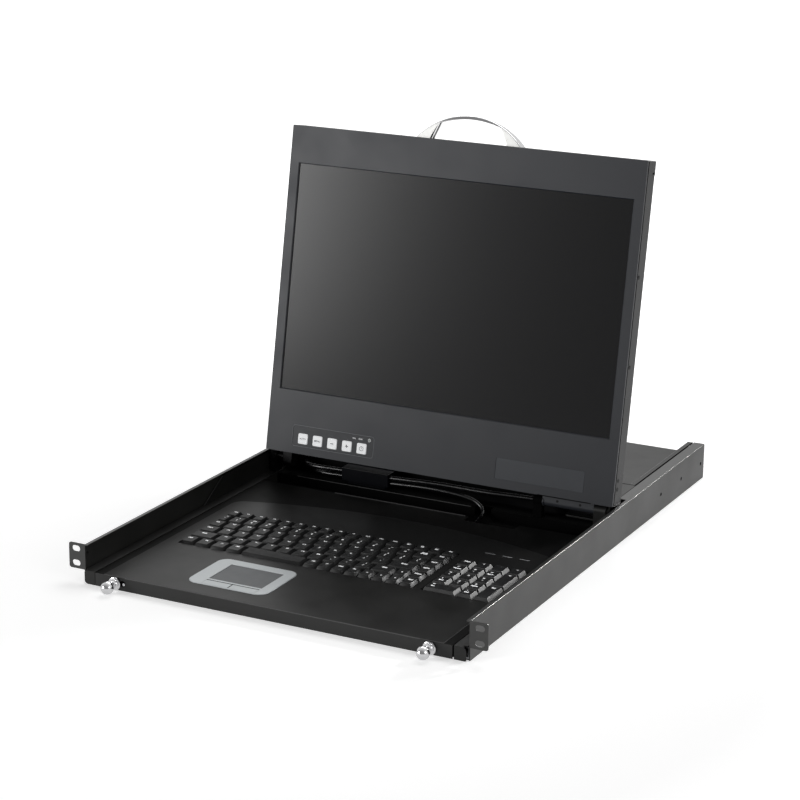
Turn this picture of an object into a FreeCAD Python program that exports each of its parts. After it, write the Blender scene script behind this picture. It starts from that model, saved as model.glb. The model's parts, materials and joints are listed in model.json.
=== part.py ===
import FreeCAD, Part
import math
import os

# Rackmount LCD console drawer, one rack unit high. Millimetres.
# While it is built, x = 0 is the middle, y = 0 the front face of the rack ears, z = 0 the underside.
# Each piece is then lowered, so that the origin is the middle of the four ear slots.

Vec = FreeCAD.Vector
X_AXIS = Vec(1, 0, 0)
Y_AXIS = Vec(0, 1, 0)
Z_AXIS = Vec(0, 0, 1)

# Rack interface
rack_width = 482.6
slot_span = 465.1
slot_pitch = 15.875
slot_length = 10.0
slot_width = 6.5
ear_bottom = 13.5
ear_corner = 2.5

# Chassis
chassis_width = 445.0
chassis_height = 41.5
chassis_depth = 640.0
wall_sheet = 1.2
wall_bend = 0.8
pan_sheet = 1.0
pan_front = 1.0
pan_flange_height = 12.8
front_lip_width = 4.5
rear_lip_width = 13.0
rear_lip_start = 405.0
rear_lip_corner = 4.0
bracket_hole_r = 2.2
bracket_hole_pitch = 64.2
bracket_hole_first = 500.8
bracket_hole_height = 20.0
rivet_r = 1.6
rivet_height = 0.9
rivet_y = 3.5
rivet_z = 32.0

# Slides
slide_thickness = 12.0
slide_bottom = 1.6
slide_height = 11.6
slide_front = 1.5
slide_length = 600.0
slide_middle_length = 580.0
slide_sheet = 1.2
slide_inner_sheet = 0.9
slide_play = 0.4
slide_lip = 7.4
slide_middle_lip = 7.9
slide_inner_lip = 8.0
slide_step = 0.5

# Tray
tray_proud = 4.2
tray_sheet = 1.2
tray_side_play = 0.4
rail_length = 600.0
deck_top = 15.0
front_bottom = 0.3
panel_gap_left = 0.6
panel_gap_right = 1.8
tab_outer_corners_left = (2.5, 4.5)
tab_outer_corners_right = (6.5, 1.0)
upright_front = 230.0
upright_rise_run = 41.0
upright_top = 38.3
upright_end = 450.0
floor_bottom = 2.0
floor_sheet = 1.0
floor_end = 639.5
box_lip_gap = 1.5
box_start = 457.0
box_top = 41.3
box_lip_reach = 5.0
box_lip_corner = 4.5

# Keyboard deck
deck_end = 341.0
field_height = 0.5
field_side_margin = 11.1
field_side_end = 262.0
field_crown = 34.0
field_corner = 16.0
notch_left = 57.0
notch_right = 119.0
notch_depth = 14.0
notch_corner = 3.0
lamp_slot_length = 12.0
lamp_slot_width = 1.3
lamp_slot_pitch = 20.0
lamp_slot_first = 129.5
lamp_slot_y = 242.5

# Keys
keys_front = 114.0
keys_left = -185.8
row_pitch = 19.1
function_row_depth = 16.6
key_gap = 1.3
key_bottom = 13.0
key_top = 17.8
key_taper = 1.5
key_wall = 1.1
key_crown = 1.4
key_travel = 2.0
key_guide_play = 0.4
well_margin = 0.6
letter_key = 18.9
small_key = 16.3
function_key = 16.6
arrow_key = 17.0
nav_key = 17.5
tab_key = 23.7
caps_key = 27.6
left_shift_key = 36.5
control_key = 24.4
alt_key = 19.2
space_bar_key = 74.6
escape_key = 21.5
backspace_key = 21.9
right_shift_key = 27.0
enter_key = 34.0
pad_left = 111.9
pad_pitch = 19.05

# Keyboard base
base_sheet = 1.2
base_top = 10.6
base_margin = 4.0
base_rib = 2.0

# Touchpad
bezel_left = -112.0
bezel_right = -18.0
bezel_front = 19.0
bezel_back = 95.0
bezel_corner = 12.0
bezel_height = 0.9
bezel_rim = 1.5
bezel_skirt = 3.0
pad_x0 = -93.0
pad_x1 = -30.5
pad_y0 = 36.0
pad_y1 = 82.0
pad_sink = 0.5
pad_play = 0.2
button_y0 = 20.8
button_y1 = 31.2
button_split = 0.6
button_travel = 0.4
pad_board_sheet = 1.2

# Pull knobs
knob_side_margin = 25.6
knob_z = 7.4
knob_ball_r = 7.0
knob_ball_reach = 15.4
knob_neck_r = 3.2
knob_collar_r = 7.1
knob_collar_thickness = 2.6
knob_collar_gap = 0.5
knob_stem_r = 2.5
knob_bore_play = 0.06
knob_head_r = 3.1
knob_head_thickness = 2.0
knob_head_play = 0.35
knob_head_start = 9.5
bushing_r = 4.3
bushing_length = 15.0
bushing_shoulder = 2.8

# Screen
screen_side_margin = 5.0
screen_height = 376.7
screen_thickness = 25.0
screen_lean = 10.2
screen_clearance = 1.4
bezel_sheet = 2.0
bezel_return = 2.5
shell_sheet = 1.2
view_side_margin = 12.2
view_bottom = 73.8
view_top = 333.5
view_bevel = 1.0
glass_overlap = 2.5
glass_thickness = 1.0
module_thickness = 9.5
module_margin = 5.0
shell_edge = 1.6

# Hinge
pivot_below_edge = 8.4
pivot_behind_face = 16.85
bracket_r = 7.2
pin_r = 2.8
pin_play = 0.06
pin_reach = 9.0
knuckle_gap = 0.6
bracket_lip_play = 0.6
left_bracket_width = 8.9
left_hub_reach = 9.5
left_knuckle_width = 11.5
left_knuckle_half = 7.6
left_knuckle_drop = 9.4
left_knuckle_round = 5.0
barrel_r = 4.9
barrel_side_margin = 26.0
barrel_length = 61.5
barrel_ring = 1.6
barrel_ring_grow = 0.9
right_bracket_width = 14.4
cable_bore_r = 3.5
cable_bore_length = 30.0
foot_sheet = 2.0
foot_left = 150.0
foot_front = 392.4
foot_corner = 5.0
crossbar_front = 374.0
crossbar_back = 394.0
crossbar_top = 14.5
crossbar_sheet = 1.5
crossbar_notch_width = 20.0
crossbar_notch_depth = 9.0
cover_front = 396.0
cover_skirt = 405.0
cover_end = 456.0
cover_side_play = 0.9
cover_sheet = 1.0

# Cables, clip and clamp
screen_cable_r = 2.75
keyboard_cable_r = 2.4
cable_hole_play = 0.6
clip_x0 = -122.0
clip_x1 = -62.0
clip_y0 = 375.0
clip_y1 = 392.0
clip_z0 = 18.4
clip_z1 = 34.0
clip_foot = 6.0
clamp_x0 = 118.5
clamp_x1 = 129.2
clamp_r = 5.2
clamp_stem = 8.0

# Rear box
lid_front = 457.5
lid_end = 603.0
lid_play = 0.2
lid_sheet = 1.0
board_sheet = 1.6
board_height = 6.0
board_x0 = -150.0
board_x1 = 70.0
board_y0 = 478.0
supply_x0 = 96.0
supply_x1 = 190.0
supply_y0 = 478.0
supply_height = 34.0
supply_sheet = 1.2

# Screen details
osd_x0 = -184.0
osd_x1 = -78.0
osd_t0 = 9.0
osd_t1 = 33.5
osd_corner = 3.5
osd_play = 0.25
osd_sink = 0.3
osd_sheet = 2.0
osd_flange = 3.0
osd_button = 12.0
osd_button_corner = 1.5
osd_button_first = -170.0
osd_button_pitch = 19.2
osd_button_t = 18.2
osd_button_proud = 0.6
osd_button_play = 0.25
osd_button_travel = 0.8
lamp_x = -84.0
lamp_t = 29.0
lamp_r = 1.4
label_x0 = 75.0
label_x1 = 182.0
label_t0 = 10.0
label_t1 = 34.0
label_depth = 0.3
side_screw_r = 2.2
side_screw_depth = 0.9
side_screw_proud = 0.3
catch_t = 361.0
catch_width = 12.0
catch_slot = 1.8
catch_slot_w = 17.5
catch_slot_length = 5.5
vent_length = 34.0
vent_width = 3.0
vent_pitch = 8.0
vent_rows = 9

# Handle
handle_span = 129.0
handle_rise = 29.0
handle_opening = 95.0
handle_shoulder = 76.0
handle_shoulder_rise = 18.6
handle_inner_rise = 24.9
handle_middle = 15.7
handle_foot_depth = 15.0
handle_top_depth = 7.6
handle_edge = 0.8

# Worked out from the values above
wall_outer = chassis_width / 2
wall_inner = wall_outer - wall_sheet
slide_seat = wall_inner - pan_sheet
rail_outer = slide_seat - tray_side_play
web_outer = slide_seat - slide_thickness
web_inner = web_outer - tray_sheet
tray_front = -tray_proud
slot_middle = (ear_bottom + chassis_height) / 2
deck_left = -web_inner + panel_gap_left
deck_right = web_inner - panel_gap_right
field_top = deck_top
ledge_top = deck_top - field_height
deck_underside = ledge_top - tray_sheet
floor_top = floor_bottom + floor_sheet
strip_bottom = deck_top - tray_sheet
box_half_width = wall_outer - rear_lip_width - box_lip_gap - box_lip_reach
field_half_width = web_inner - field_side_margin
knob_x = web_inner - knob_side_margin
screen_half = wall_outer - screen_side_margin
view_half_width = screen_half - view_side_margin
cover_half_width = wall_outer - rear_lip_width - cover_side_play
bracket_outer = wall_outer - front_lip_width - bracket_lip_play
left_bracket_inner = left_bracket_width - bracket_outer
left_knuckle_x0 = left_bracket_inner + left_hub_reach
left_knuckle_x1 = left_knuckle_x0 + left_knuckle_width
barrel_x1 = screen_half - barrel_side_margin
barrel_x0 = barrel_x1 - barrel_length
lean = math.radians(screen_lean)
pivot_z = deck_top + screen_clearance + pivot_behind_face
pivot_y = tray_front + screen_height + pivot_below_edge
face_y = pivot_y + pivot_below_edge * math.sin(lean) - pivot_behind_face * math.cos(lean)
face_z = pivot_z + pivot_below_edge * math.cos(lean) + pivot_behind_face * math.sin(lean)
datum = Vec(0, 0, -slot_middle)


# ---------- small helpers ----------

def box(x0, x1, y0, y1, z0, z1):
    return Part.makeBox(x1 - x0, y1 - y0, z1 - z0, Vec(x0, y0, z0))


def rod(radius, start, end):
    along = end.sub(start)
    return Part.makeCylinder(radius, along.Length, start, along)


def prism(corners, along):
    wire = Part.makePolygon(corners + [corners[0]])
    return Part.Face(wire).extrude(along)


def fuse(shapes):
    return shapes[0].multiFuse(shapes[1:]).removeSplitter()


def cut(shape, tools):
    return shape.cut(Part.makeCompound(tools))


def mirrored(shape):
    return shape.mirror(Vec(0, 0, 0), X_AXIS)


def rounded_outline(u0, u1, v0, v1, radii):
    """Face in the XY plane; radii start at the low corner (u0, v0) and go anticlockwise."""
    corners = [(u0, v0), (u1, v0), (u1, v1), (u0, v1)]
    steps = [(1, 0), (0, 1), (-1, 0), (0, -1)]
    edges = []
    points = []
    for i in range(4):
        before = steps[i - 1]
        after = steps[i]
        u, v = corners[i]
        r = radii[i]
        into = Vec(u - before[0] * r, v - before[1] * r, 0)
        out = Vec(u + after[0] * r, v + after[1] * r, 0)
        if r > 0:
            share = r * (1 - math.sqrt(0.5))
            middle = Vec(u + (after[0] - before[0]) * share, v + (after[1] - before[1]) * share, 0)
            edges.append(Part.Arc(into, middle, out).toShape())
        points.append((into, out))
    for i in range(4):
        start = points[i][1]
        end = points[(i + 1) % 4][0]
        edges.append(Part.makeLine(start, end))
    return Part.Face(Part.Wire(Part.__sortEdges__(edges)))


def flat_plate(x0, x1, y0, y1, z0, z1, radii):
    """Plate that lies flat, with its four corners rounded."""
    face = rounded_outline(x0, x1, y0, y1, radii)
    face.translate(Vec(0, 0, z0))
    return face.extrude(Vec(0, 0, z1 - z0))


def front_plate(x0, x1, z0, z1, y0, y1, radii):
    """Plate that stands up across the drawer, with its four corners rounded."""
    face = rounded_outline(x0, x1, z0, z1, radii)
    face.rotate(Vec(0, 0, 0), X_AXIS, 90)
    face.translate(Vec(0, y0, 0))
    return face.extrude(Vec(0, y1 - y0, 0))


def edges_where(shape, test):
    return [edge for edge in shape.Edges if all(test(vertex.Point) for vertex in edge.Vertexes)]


def near(a, b):
    return abs(a - b) < 0.001


def raised_screen(shape):
    """From the screen's own frame (x, back, up from its lower front edge) to its raised place."""
    shape.rotate(Vec(0, 0, 0), X_AXIS, -screen_lean)
    shape.translate(Vec(0, face_y, face_z))
    return shape


def save(name, shapes):
    placed = []
    for shape in shapes:
        copy = shape.copy()
        copy.translate(datum)
        placed.append(copy)
    body = placed[0] if len(placed) == 1 else Part.makeCompound(placed)
    body.exportStep("parts/" + name + ".step")


# ---------- chassis ----------

def chassis_pan():
    floor = box(-wall_inner, wall_inner, pan_front, chassis_depth, 0, pan_sheet)
    flange = box(slide_seat, wall_inner, pan_front, chassis_depth, 0, pan_flange_height)
    return fuse([floor, flange, mirrored(flange)])


def chassis_side():
    """Right side wall with its ear, folded from one sheet."""
    lip_bottom = chassis_height - wall_sheet
    wall = box(wall_inner, wall_outer, 0, chassis_depth, 0, chassis_height)
    front_lip = box(wall_outer - front_lip_width, wall_outer, 0, chassis_depth, lip_bottom, chassis_height)
    rear_lip = flat_plate(wall_outer - rear_lip_width, wall_outer, rear_lip_start, chassis_depth,
                          lip_bottom, chassis_height, (rear_lip_corner, 0, 0, 0))
    ear = front_plate(wall_inner, rack_width / 2, ear_bottom, chassis_height, 0, wall_sheet,
                      (0, ear_corner, ear_corner, 0))
    side = fuse([wall, front_lip, rear_lip, ear])
    slots = []
    for step in (-0.5, 0.5):
        middle = slot_middle + step * slot_pitch
        slots.append(front_plate(slot_span / 2 - slot_length / 2, slot_span / 2 + slot_length / 2,
                                 middle - slot_width / 2, middle + slot_width / 2,
                                 -wall_sheet, 2 * wall_sheet, [slot_width / 2 - 0.0001] * 4))
    holes = []
    for i in range(3):
        centre = Vec(wall_inner - 1, bracket_hole_first + i * bracket_hole_pitch, bracket_hole_height)
        holes.append(rod(bracket_hole_r, centre, centre.add(Vec(wall_sheet + 2, 0, 0))))
    side = cut(side, slots + holes)
    bend = edges_where(side, lambda p: near(p.x, wall_outer) and near(p.z, chassis_height))
    return side.makeFillet(wall_bend, bend)


def chassis_rivet():
    seat = Vec(wall_inner, rivet_y, rivet_z)
    head = rod(rivet_r, seat, seat.sub(Vec(rivet_height, 0, 0)))
    rim = edges_where(head, lambda p: near(p.x, wall_inner - rivet_height))
    return head.makeChamfer(rivet_height * 0.6, rim)


# ---------- slides: three channels nested in each other ----------

def channel(seat_x, web, lip, sheet, inset, start, length, opens_out):
    """C channel of a right-hand slide; inset is how far its lips lie inside the slide's height."""
    z0 = slide_bottom + inset
    z1 = slide_bottom + slide_height - inset
    web_x = (seat_x, seat_x + web) if opens_out else (seat_x - web, seat_x)
    lip_x = (seat_x, seat_x + lip) if opens_out else (seat_x - lip, seat_x)
    end = start + length
    back = box(web_x[0], web_x[1], start, end, z0, z1)
    top = box(lip_x[0], lip_x[1], start, end, z1 - sheet, z1)
    bottom = box(lip_x[0], lip_x[1], start, end, z0, z0 + sheet)
    return fuse([back, top, bottom])


def slide_outer():
    return channel(slide_seat, slide_sheet, slide_lip, slide_sheet, 0, slide_front, slide_length, False)


def slide_middle():
    seat = slide_seat - slide_sheet - slide_step
    inset = slide_sheet + slide_play
    start = slide_front + (slide_length - slide_middle_length) / 2
    return channel(seat, slide_inner_sheet, slide_middle_lip, slide_inner_sheet, inset, start,
                   slide_middle_length, False)


def slide_inner():
    inset = slide_sheet + slide_inner_sheet + 2 * slide_play
    return channel(web_outer, slide_inner_sheet, slide_inner_lip, slide_inner_sheet, inset, slide_front,
                   slide_length, True)


# ---------- tray ----------

def tray_rail(tab_corners):
    """Right rail: web on the slide, strip over it, tab in front and the upright behind."""
    upper, lower = tab_corners
    web = box(web_inner, web_outer, tray_front + tray_sheet, rail_length, floor_bottom, deck_top)
    strip = box(web_inner, rail_outer, tray_front, rail_length, strip_bottom, deck_top)
    tab_lower = tray_front + tray_sheet
    tab = front_plate(web_inner, rail_outer, front_bottom, deck_top, tray_front, tab_lower,
                      (0, lower, upper, 0))
    corner_cut = cut(box(rail_outer - upper, rail_outer + 1, tray_front - 1, tray_front + tray_proud,
                         deck_top - upper, deck_top + 1),
                     [rod(upper, Vec(rail_outer - upper, tray_front - 2, deck_top - upper),
                          Vec(rail_outer - upper, tray_front + tray_proud + 1, deck_top - upper))])
    strip = strip.cut(corner_cut)
    upright_x = rail_outer - tray_sheet
    upright = prism([Vec(upright_x, upright_front, strip_bottom),
                     Vec(upright_x, upright_front + upright_rise_run, upright_top),
                     Vec(upright_x, upright_end, upright_top),
                     Vec(upright_x, upright_end, strip_bottom)], Vec(tray_sheet, 0, 0))
    return fuse([web, strip, tab, upright])


def tray_pan():
    floor = box(-web_inner, web_inner, tray_front + tray_sheet, floor_end, floor_bottom, floor_top)
    wall = box(box_half_width - floor_sheet, box_half_width, box_start, floor_end, floor_bottom, box_top)
    lip = flat_plate(box_half_width - floor_sheet, box_half_width + box_lip_reach, box_start, floor_end,
                     box_top - floor_sheet, box_top, (0, box_lip_corner, 0, 0))
    return fuse([floor, wall, lip, mirrored(wall), mirrored(lip)])


def field_outline():
    """Raised field of the deck: straight sides and front, and an arched back edge."""
    left = Vec(-field_half_width, tray_front, 0)
    right = Vec(field_half_width, tray_front, 0)
    left_end = Vec(-field_half_width, field_side_end, 0)
    right_end = Vec(field_half_width, field_side_end, 0)
    crown = Vec(0, field_side_end + field_crown, 0)
    edges = [Part.makeLine(left, right), Part.makeLine(right, right_end),
             Part.Arc(right_end, crown, left_end).toShape(), Part.makeLine(left_end, left)]
    return Part.Face(Part.Wire(edges))


def raised_field():
    field = field_outline().extrude(Vec(0, 0, field_height))
    field.translate(Vec(0, 0, ledge_top))
    corners = edges_where(field, lambda p: near(abs(p.x), field_half_width) and near(p.y, field_side_end))
    upright = [edge for edge in corners if edge.Length < 2 * field_height]
    field = field.makeFillet(field_corner, upright)
    rim = [edge for edge in field.Edges
           if all(near(v.Z, field_top) for v in edge.Vertexes) and edge.BoundBox.YMax > tray_front + 1]
    return field.makeChamfer(field_height * 0.9, rim)


def key_wells():
    """Openings of the deck for the main block and the keypad."""
    main_right = keys_left + sum(rows()["number_row_keys"][2])
    main_back = keys_front + 5 * row_pitch + function_row_depth
    pad_right = pad_left + 4 * pad_pitch
    pad_back = keys_front + 5 * row_pitch
    m = well_margin
    return [box(keys_left - m, main_right + m, keys_front - m, main_back + m, 0, 2 * deck_top),
            box(pad_left - m, pad_right + m, keys_front - m, pad_back + m, 0, 2 * deck_top)]


def keyboard_deck():
    front_back = tray_front + tray_sheet
    sheet = box(deck_left, deck_right, tray_front, deck_end, deck_underside, ledge_top)
    skirt = box(deck_left, deck_right, tray_front, front_back, front_bottom, ledge_top)
    skirt_left = box(deck_left, deck_left + tray_sheet, tray_front, deck_end, floor_top, ledge_top)
    skirt_right = box(deck_right - tray_sheet, deck_right, tray_front, deck_end, floor_top, ledge_top)
    skirt_back = box(deck_left, deck_right, deck_end - tray_sheet, deck_end, floor_top, ledge_top)
    deck = fuse([sheet, skirt, skirt_left, skirt_right, skirt_back, raised_field()])
    inset = field_half_width - tray_sheet
    hollow = box(-inset, inset, front_back, field_side_end - field_corner, deck_underside,
                 deck_underside + field_height)
    notch = flat_plate(notch_left, notch_right, deck_end - notch_depth, deck_end + notch_corner, floor_top,
                       2 * deck_top, [notch_corner] * 4)
    rim = bezel_rim
    pad_well = flat_plate(bezel_left + rim, bezel_right - rim, bezel_front + rim / 2, bezel_back - rim, 0,
                          2 * deck_top, [bezel_corner - rim] * 4)
    lamps = []
    for i in range(3):
        left = lamp_slot_first + i * lamp_slot_pitch - lamp_slot_length / 2
        lamps.append(box(left, left + lamp_slot_length, lamp_slot_y, lamp_slot_y + lamp_slot_width, 0,
                         2 * deck_top))
    knob_holes = []
    for side in (-1, 1):
        centre = Vec(side * knob_x, tray_front - 1, knob_z)
        knob_holes.append(rod(bushing_r, centre, centre.add(Vec(0, tray_sheet + 2, 0))))
    deck = cut(deck, key_wells() + [hollow, notch, pad_well] + lamps + knob_holes)
    bend = edges_where(deck, lambda p: near(p.y, tray_front) and near(p.z, field_top))
    return deck.makeChamfer(field_height * 0.8, bend)


# ---------- keys ----------

def rows():
    """Front edge, depth and key widths of each row, counted from the left."""
    y = [keys_front + i * row_pitch for i in range(6)]
    return {
        "function_row_keys": (y[5], function_row_depth, [escape_key] + [function_key] * 16),
        "number_row_keys": (y[4], row_pitch, [letter_key] * 13 + [backspace_key] + [arrow_key + 2.4]),
        "tab_row_keys": (y[3], row_pitch, [tab_key] + [letter_key] * 13 + [nav_key + 0.1]),
        "home_row_keys": (y[2], row_pitch, [caps_key] + [letter_key] * 11 + [enter_key] + [nav_key]),
        "shift_row_keys": (y[1], row_pitch, [left_shift_key] + [letter_key] * 10 + [right_shift_key]
                           + [arrow_key] + [nav_key]),
        "bottom_row_keys": (y[0], row_pitch, [control_key] + [alt_key] * 3 + [space_bar_key]
                            + [small_key] * 8),
    }


def keycap(x0, x1, y0, y1):
    """Hollow keycap with sloping sides."""
    half = key_gap / 2
    x0, x1, y0, y1 = x0 + half, x1 - half, y0 + half, y1 - half
    shoulder = key_bottom + key_guide_play + key_travel
    skirt = box(x0, x1, y0, y1, key_bottom, shoulder)
    t = key_taper
    low = Part.makePolygon([Vec(x0, y0, shoulder), Vec(x1, y0, shoulder), Vec(x1, y1, shoulder),
                            Vec(x0, y1, shoulder), Vec(x0, y0, shoulder)])
    high = Part.makePolygon([Vec(x0 + t, y0 + t, key_top), Vec(x1 - t, y0 + t, key_top),
                             Vec(x1 - t, y1 - t, key_top), Vec(x0 + t, y1 - t, key_top),
                             Vec(x0 + t, y0 + t, key_top)])
    cap = skirt.fuse(Part.makeLoft([low, high], True, True))
    inset = t + key_wall
    hollow = box(x0 + inset, x1 - inset, y0 + inset, y1 - inset, key_bottom, key_top - key_crown)
    return cap.cut(hollow).removeSplitter()


def key_guide(x0, x1, y0, y1):
    """Boss of the keyboard base that the keycap runs on."""
    inset = key_gap / 2 + key_taper + key_wall + key_guide_play
    top = key_top - key_crown - key_travel - key_guide_play
    return box(x0 + inset, x1 - inset, y0 + inset, y1 - inset, base_top - base_sheet / 2, top)


def row_outlines(front, depth, widths):
    outlines = []
    left = keys_left
    for width in widths:
        outlines.append((left, left + width, front, front + depth))
        left += width
    return outlines


def pad_outlines():
    """Keypad: three columns of digits over a wide zero, and a fourth column with two tall keys."""
    outlines = []
    for row in range(1, 5):
        for column in range(3):
            x = pad_left + column * pad_pitch
            y = keys_front + row * row_pitch
            outlines.append((x, x + pad_pitch, y, y + row_pitch))
    last = pad_left + 3 * pad_pitch
    outlines.append((last, last + pad_pitch, keys_front + 4 * row_pitch, keys_front + 5 * row_pitch))
    for row in (0, 2):
        y = keys_front + row * row_pitch
        outlines.append((last, last + pad_pitch, y, y + 2 * row_pitch))
    outlines.append((pad_left, pad_left + 2 * pad_pitch, keys_front, keys_front + row_pitch))
    outlines.append((pad_left + 2 * pad_pitch, last, keys_front, keys_front + row_pitch))
    return outlines


def key_groups():
    groups = {name: row_outlines(*row) for name, row in rows().items()}
    bottom = groups["bottom_row_keys"]
    groups["space_bar"] = [bottom.pop(4)]
    groups["keypad_keys"] = pad_outlines()
    return groups


def keyboard_base():
    m = base_margin
    x0 = keys_left - m
    x1 = pad_left + 4 * pad_pitch + m
    y0 = keys_front - m
    y1 = keys_front + 5 * row_pitch + function_row_depth + m
    plate = box(x0, x1, y0, y1, base_top - base_sheet, base_top)
    ribs = []
    for y in (y0, (y0 + y1) / 2, y1 - base_rib):
        ribs.append(box(x0, x1, y, y + base_rib, floor_top, base_top))
    plug_x = keyboard_cable_points()[-1].x
    plug_half = 2 * keyboard_cable_r
    plug = box(plug_x - plug_half, plug_x + plug_half, y1 - plug_half, y1, floor_top, base_top)
    guides = []
    for outlines in key_groups().values():
        guides += [key_guide(*outline) for outline in outlines]
    return fuse([plate, plug] + ribs + guides)


# ---------- touchpad ----------

def bezel_openings(z0, z1, play):
    """Pad window and the window of the two buttons, each grown by the play."""
    p = play
    return [box(pad_x0 - p, pad_x1 + p, pad_y0 - p, pad_y1 + p, z0, z1),
            box(pad_x0 - p, pad_x1 + p, button_y0 - p, button_y1 + p, z0, z1)]


def touchpad_bezel():
    top = deck_top + bezel_height
    plate = flat_plate(bezel_left, bezel_right, bezel_front, bezel_back, deck_top, top, [bezel_corner] * 4)
    rim = edges_where(plate, lambda p: near(p.z, top))
    plate = plate.makeChamfer(bezel_height * 0.6, rim)
    r = bezel_rim + pad_play
    skirt = flat_plate(bezel_left + r, bezel_right - r, bezel_front + r / 2 + pad_play, bezel_back - r,
                       deck_top - bezel_skirt, deck_top, [bezel_corner - r] * 4)
    return cut(plate.fuse(skirt), bezel_openings(0, 2 * deck_top, pad_play)).removeSplitter()


def touchpad_plate():
    board_top = deck_top - bezel_skirt
    pad = box(pad_x0, pad_x1, pad_y0, pad_y1, board_top - pad_board_sheet / 2,
              deck_top + bezel_height - pad_sink)
    board = box(bezel_left, bezel_right, bezel_front, bezel_back, board_top - pad_board_sheet, board_top)
    return fuse([pad, board])


def touchpad_button(side):
    middle = (pad_x0 + pad_x1) / 2
    edge = pad_x0 if side < 0 else pad_x1
    near_edge = middle + side * button_split / 2
    bottom = deck_top - bezel_skirt + button_travel + pad_play
    top = deck_top + bezel_height
    key = box(min(edge, near_edge), max(edge, near_edge), button_y0, button_y1, bottom, top)
    rim = edges_where(key, lambda p: near(p.z, top))
    return key.makeChamfer(0.3, rim)


# ---------- pull knobs ----------

def turned(profile, x, z):
    """Solid turned about an axis along y; the profile is a list of (y, radius)."""
    corners = [Vec(x, profile[0][0], z)]
    corners += [Vec(x + radius, y, z) for y, radius in profile]
    corners.append(Vec(x, profile[-1][0], z))
    face = Part.Face(Part.makePolygon(corners + [corners[0]]))
    return face.revolve(Vec(x, 0, z), Y_AXIS, 360)


def pull_knob(side):
    """Ball on a neck, a collar just in front of the panel, and a stem with a head inside the bushing."""
    collar_back = tray_front - knob_collar_gap
    collar_front = collar_back - knob_collar_thickness
    ball_y = tray_front - knob_ball_reach
    head_front = tray_front + knob_head_start
    head_back = head_front + knob_head_thickness
    edge = knob_collar_thickness / 5
    ball = []
    for i in range(1, 12):
        angle = math.pi * i / 14
        ball.append((ball_y - knob_ball_r * math.cos(angle), knob_ball_r * math.sin(angle)))
    profile = [(ball_y - knob_ball_r, 0.4)] + ball
    profile += [(collar_front - 2 * edge, knob_neck_r), (collar_front, knob_collar_r - 2 * edge),
                (collar_front + edge, knob_collar_r), (collar_back - edge, knob_collar_r),
                (collar_back, knob_collar_r - edge), (collar_back, knob_stem_r), (head_front, knob_stem_r),
                (head_front, knob_head_r), (head_back, knob_head_r)]
    return turned(profile, side * knob_x, knob_z)


def knob_bushing(side):
    """Barrel through the panel: a narrow bore for the stem and a wide one behind it for the head."""
    bore = knob_stem_r + knob_bore_play
    wide = knob_head_r + knob_head_play
    end = tray_front + bushing_length
    shoulder = tray_front + bushing_shoulder
    corners = [(tray_front, bore), (tray_front, bushing_r), (end, bushing_r), (end, wide), (shoulder, wide),
               (shoulder, bore)]
    points = [Vec(side * knob_x + radius, y, knob_z) for y, radius in corners]
    face = Part.Face(Part.makePolygon(points + [points[0]]))
    return face.revolve(Vec(side * knob_x, 0, knob_z), Y_AXIS, 360)


# ---------- hinge ----------

def about_pivot(radius, x0, x1):
    """Rod along the hinge axis, in the screen's own frame."""
    return rod(radius, Vec(x0, pivot_behind_face, -pivot_below_edge),
               Vec(x1, pivot_behind_face, -pivot_below_edge))


def hinge_knuckle_left():
    """Flat arm under the screen's left end, with a rounded lower end."""
    low = -pivot_below_edge - left_knuckle_drop
    arm = box(left_knuckle_x0, left_knuckle_x1, pivot_behind_face - left_knuckle_half,
              pivot_behind_face + left_knuckle_half, low, 0)
    corners = [edge for edge in edges_where(arm, lambda p: near(p.z, low)) if edge.BoundBox.XLength > 1]
    arm = arm.makeFillet(left_knuckle_round, corners)
    bore = about_pivot(pin_r + pin_play, left_knuckle_x0 - 1, left_knuckle_x0 + pin_reach + 1)
    return raised_screen(arm.cut(bore))


def barrel_screw_places():
    return (barrel_x0 + 18.0, barrel_x0 + 45.3)


def barrel_screw(x):
    """Screw head let into the upper front of the barrel."""
    height = -pivot_below_edge + barrel_r / 2
    face = pivot_behind_face - barrel_r
    head = rod(1.7, Vec(x, face + 1.5, height), Vec(x, face - 0.1, height))
    rim = edges_where(head, lambda p: near(p.y, face - 0.1))
    return head.makeChamfer(0.3, rim)


def hinge_knuckle_right():
    """Long barrel under the screen's right end; the screen cable runs in through its left end."""
    body = about_pivot(barrel_r, barrel_x0, barrel_x1)
    ring = about_pivot(barrel_r + barrel_ring_grow, barrel_x0, barrel_x0 + barrel_ring)
    neck = box(barrel_x0, barrel_x1, pivot_behind_face - barrel_r, pivot_behind_face + barrel_r,
               -pivot_below_edge, 0)
    bore = about_pivot(pin_r + pin_play, barrel_x1 - pin_reach - 1, barrel_x1 + 1)
    cable_way = about_pivot(cable_bore_r, barrel_x0 - 1, barrel_x0 + cable_bore_length)
    seats = [barrel_screw(x) for x in barrel_screw_places()]
    return raised_screen(cut(fuse([body, ring, neck]), [bore, cable_way] + seats))


def hinge_bracket_left():
    """Upright on the tray's left strip, with a hub and the pin that the arm turns on."""
    hub_end = left_knuckle_x0 - knuckle_gap
    disc = rod(bracket_r, Vec(-bracket_outer, pivot_y, pivot_z), Vec(left_bracket_inner, pivot_y, pivot_z))
    stem = box(-bracket_outer, left_bracket_inner, pivot_y - bracket_r, pivot_y + bracket_r, deck_top, pivot_z)
    hub = rod(pin_r + 2, Vec(left_bracket_inner, pivot_y, pivot_z), Vec(hub_end, pivot_y, pivot_z))
    pin = rod(pin_r, Vec(hub_end, pivot_y, pivot_z), Vec(left_knuckle_x0 + pin_reach, pivot_y, pivot_z))
    return fuse([disc, stem, hub, pin])


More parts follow.
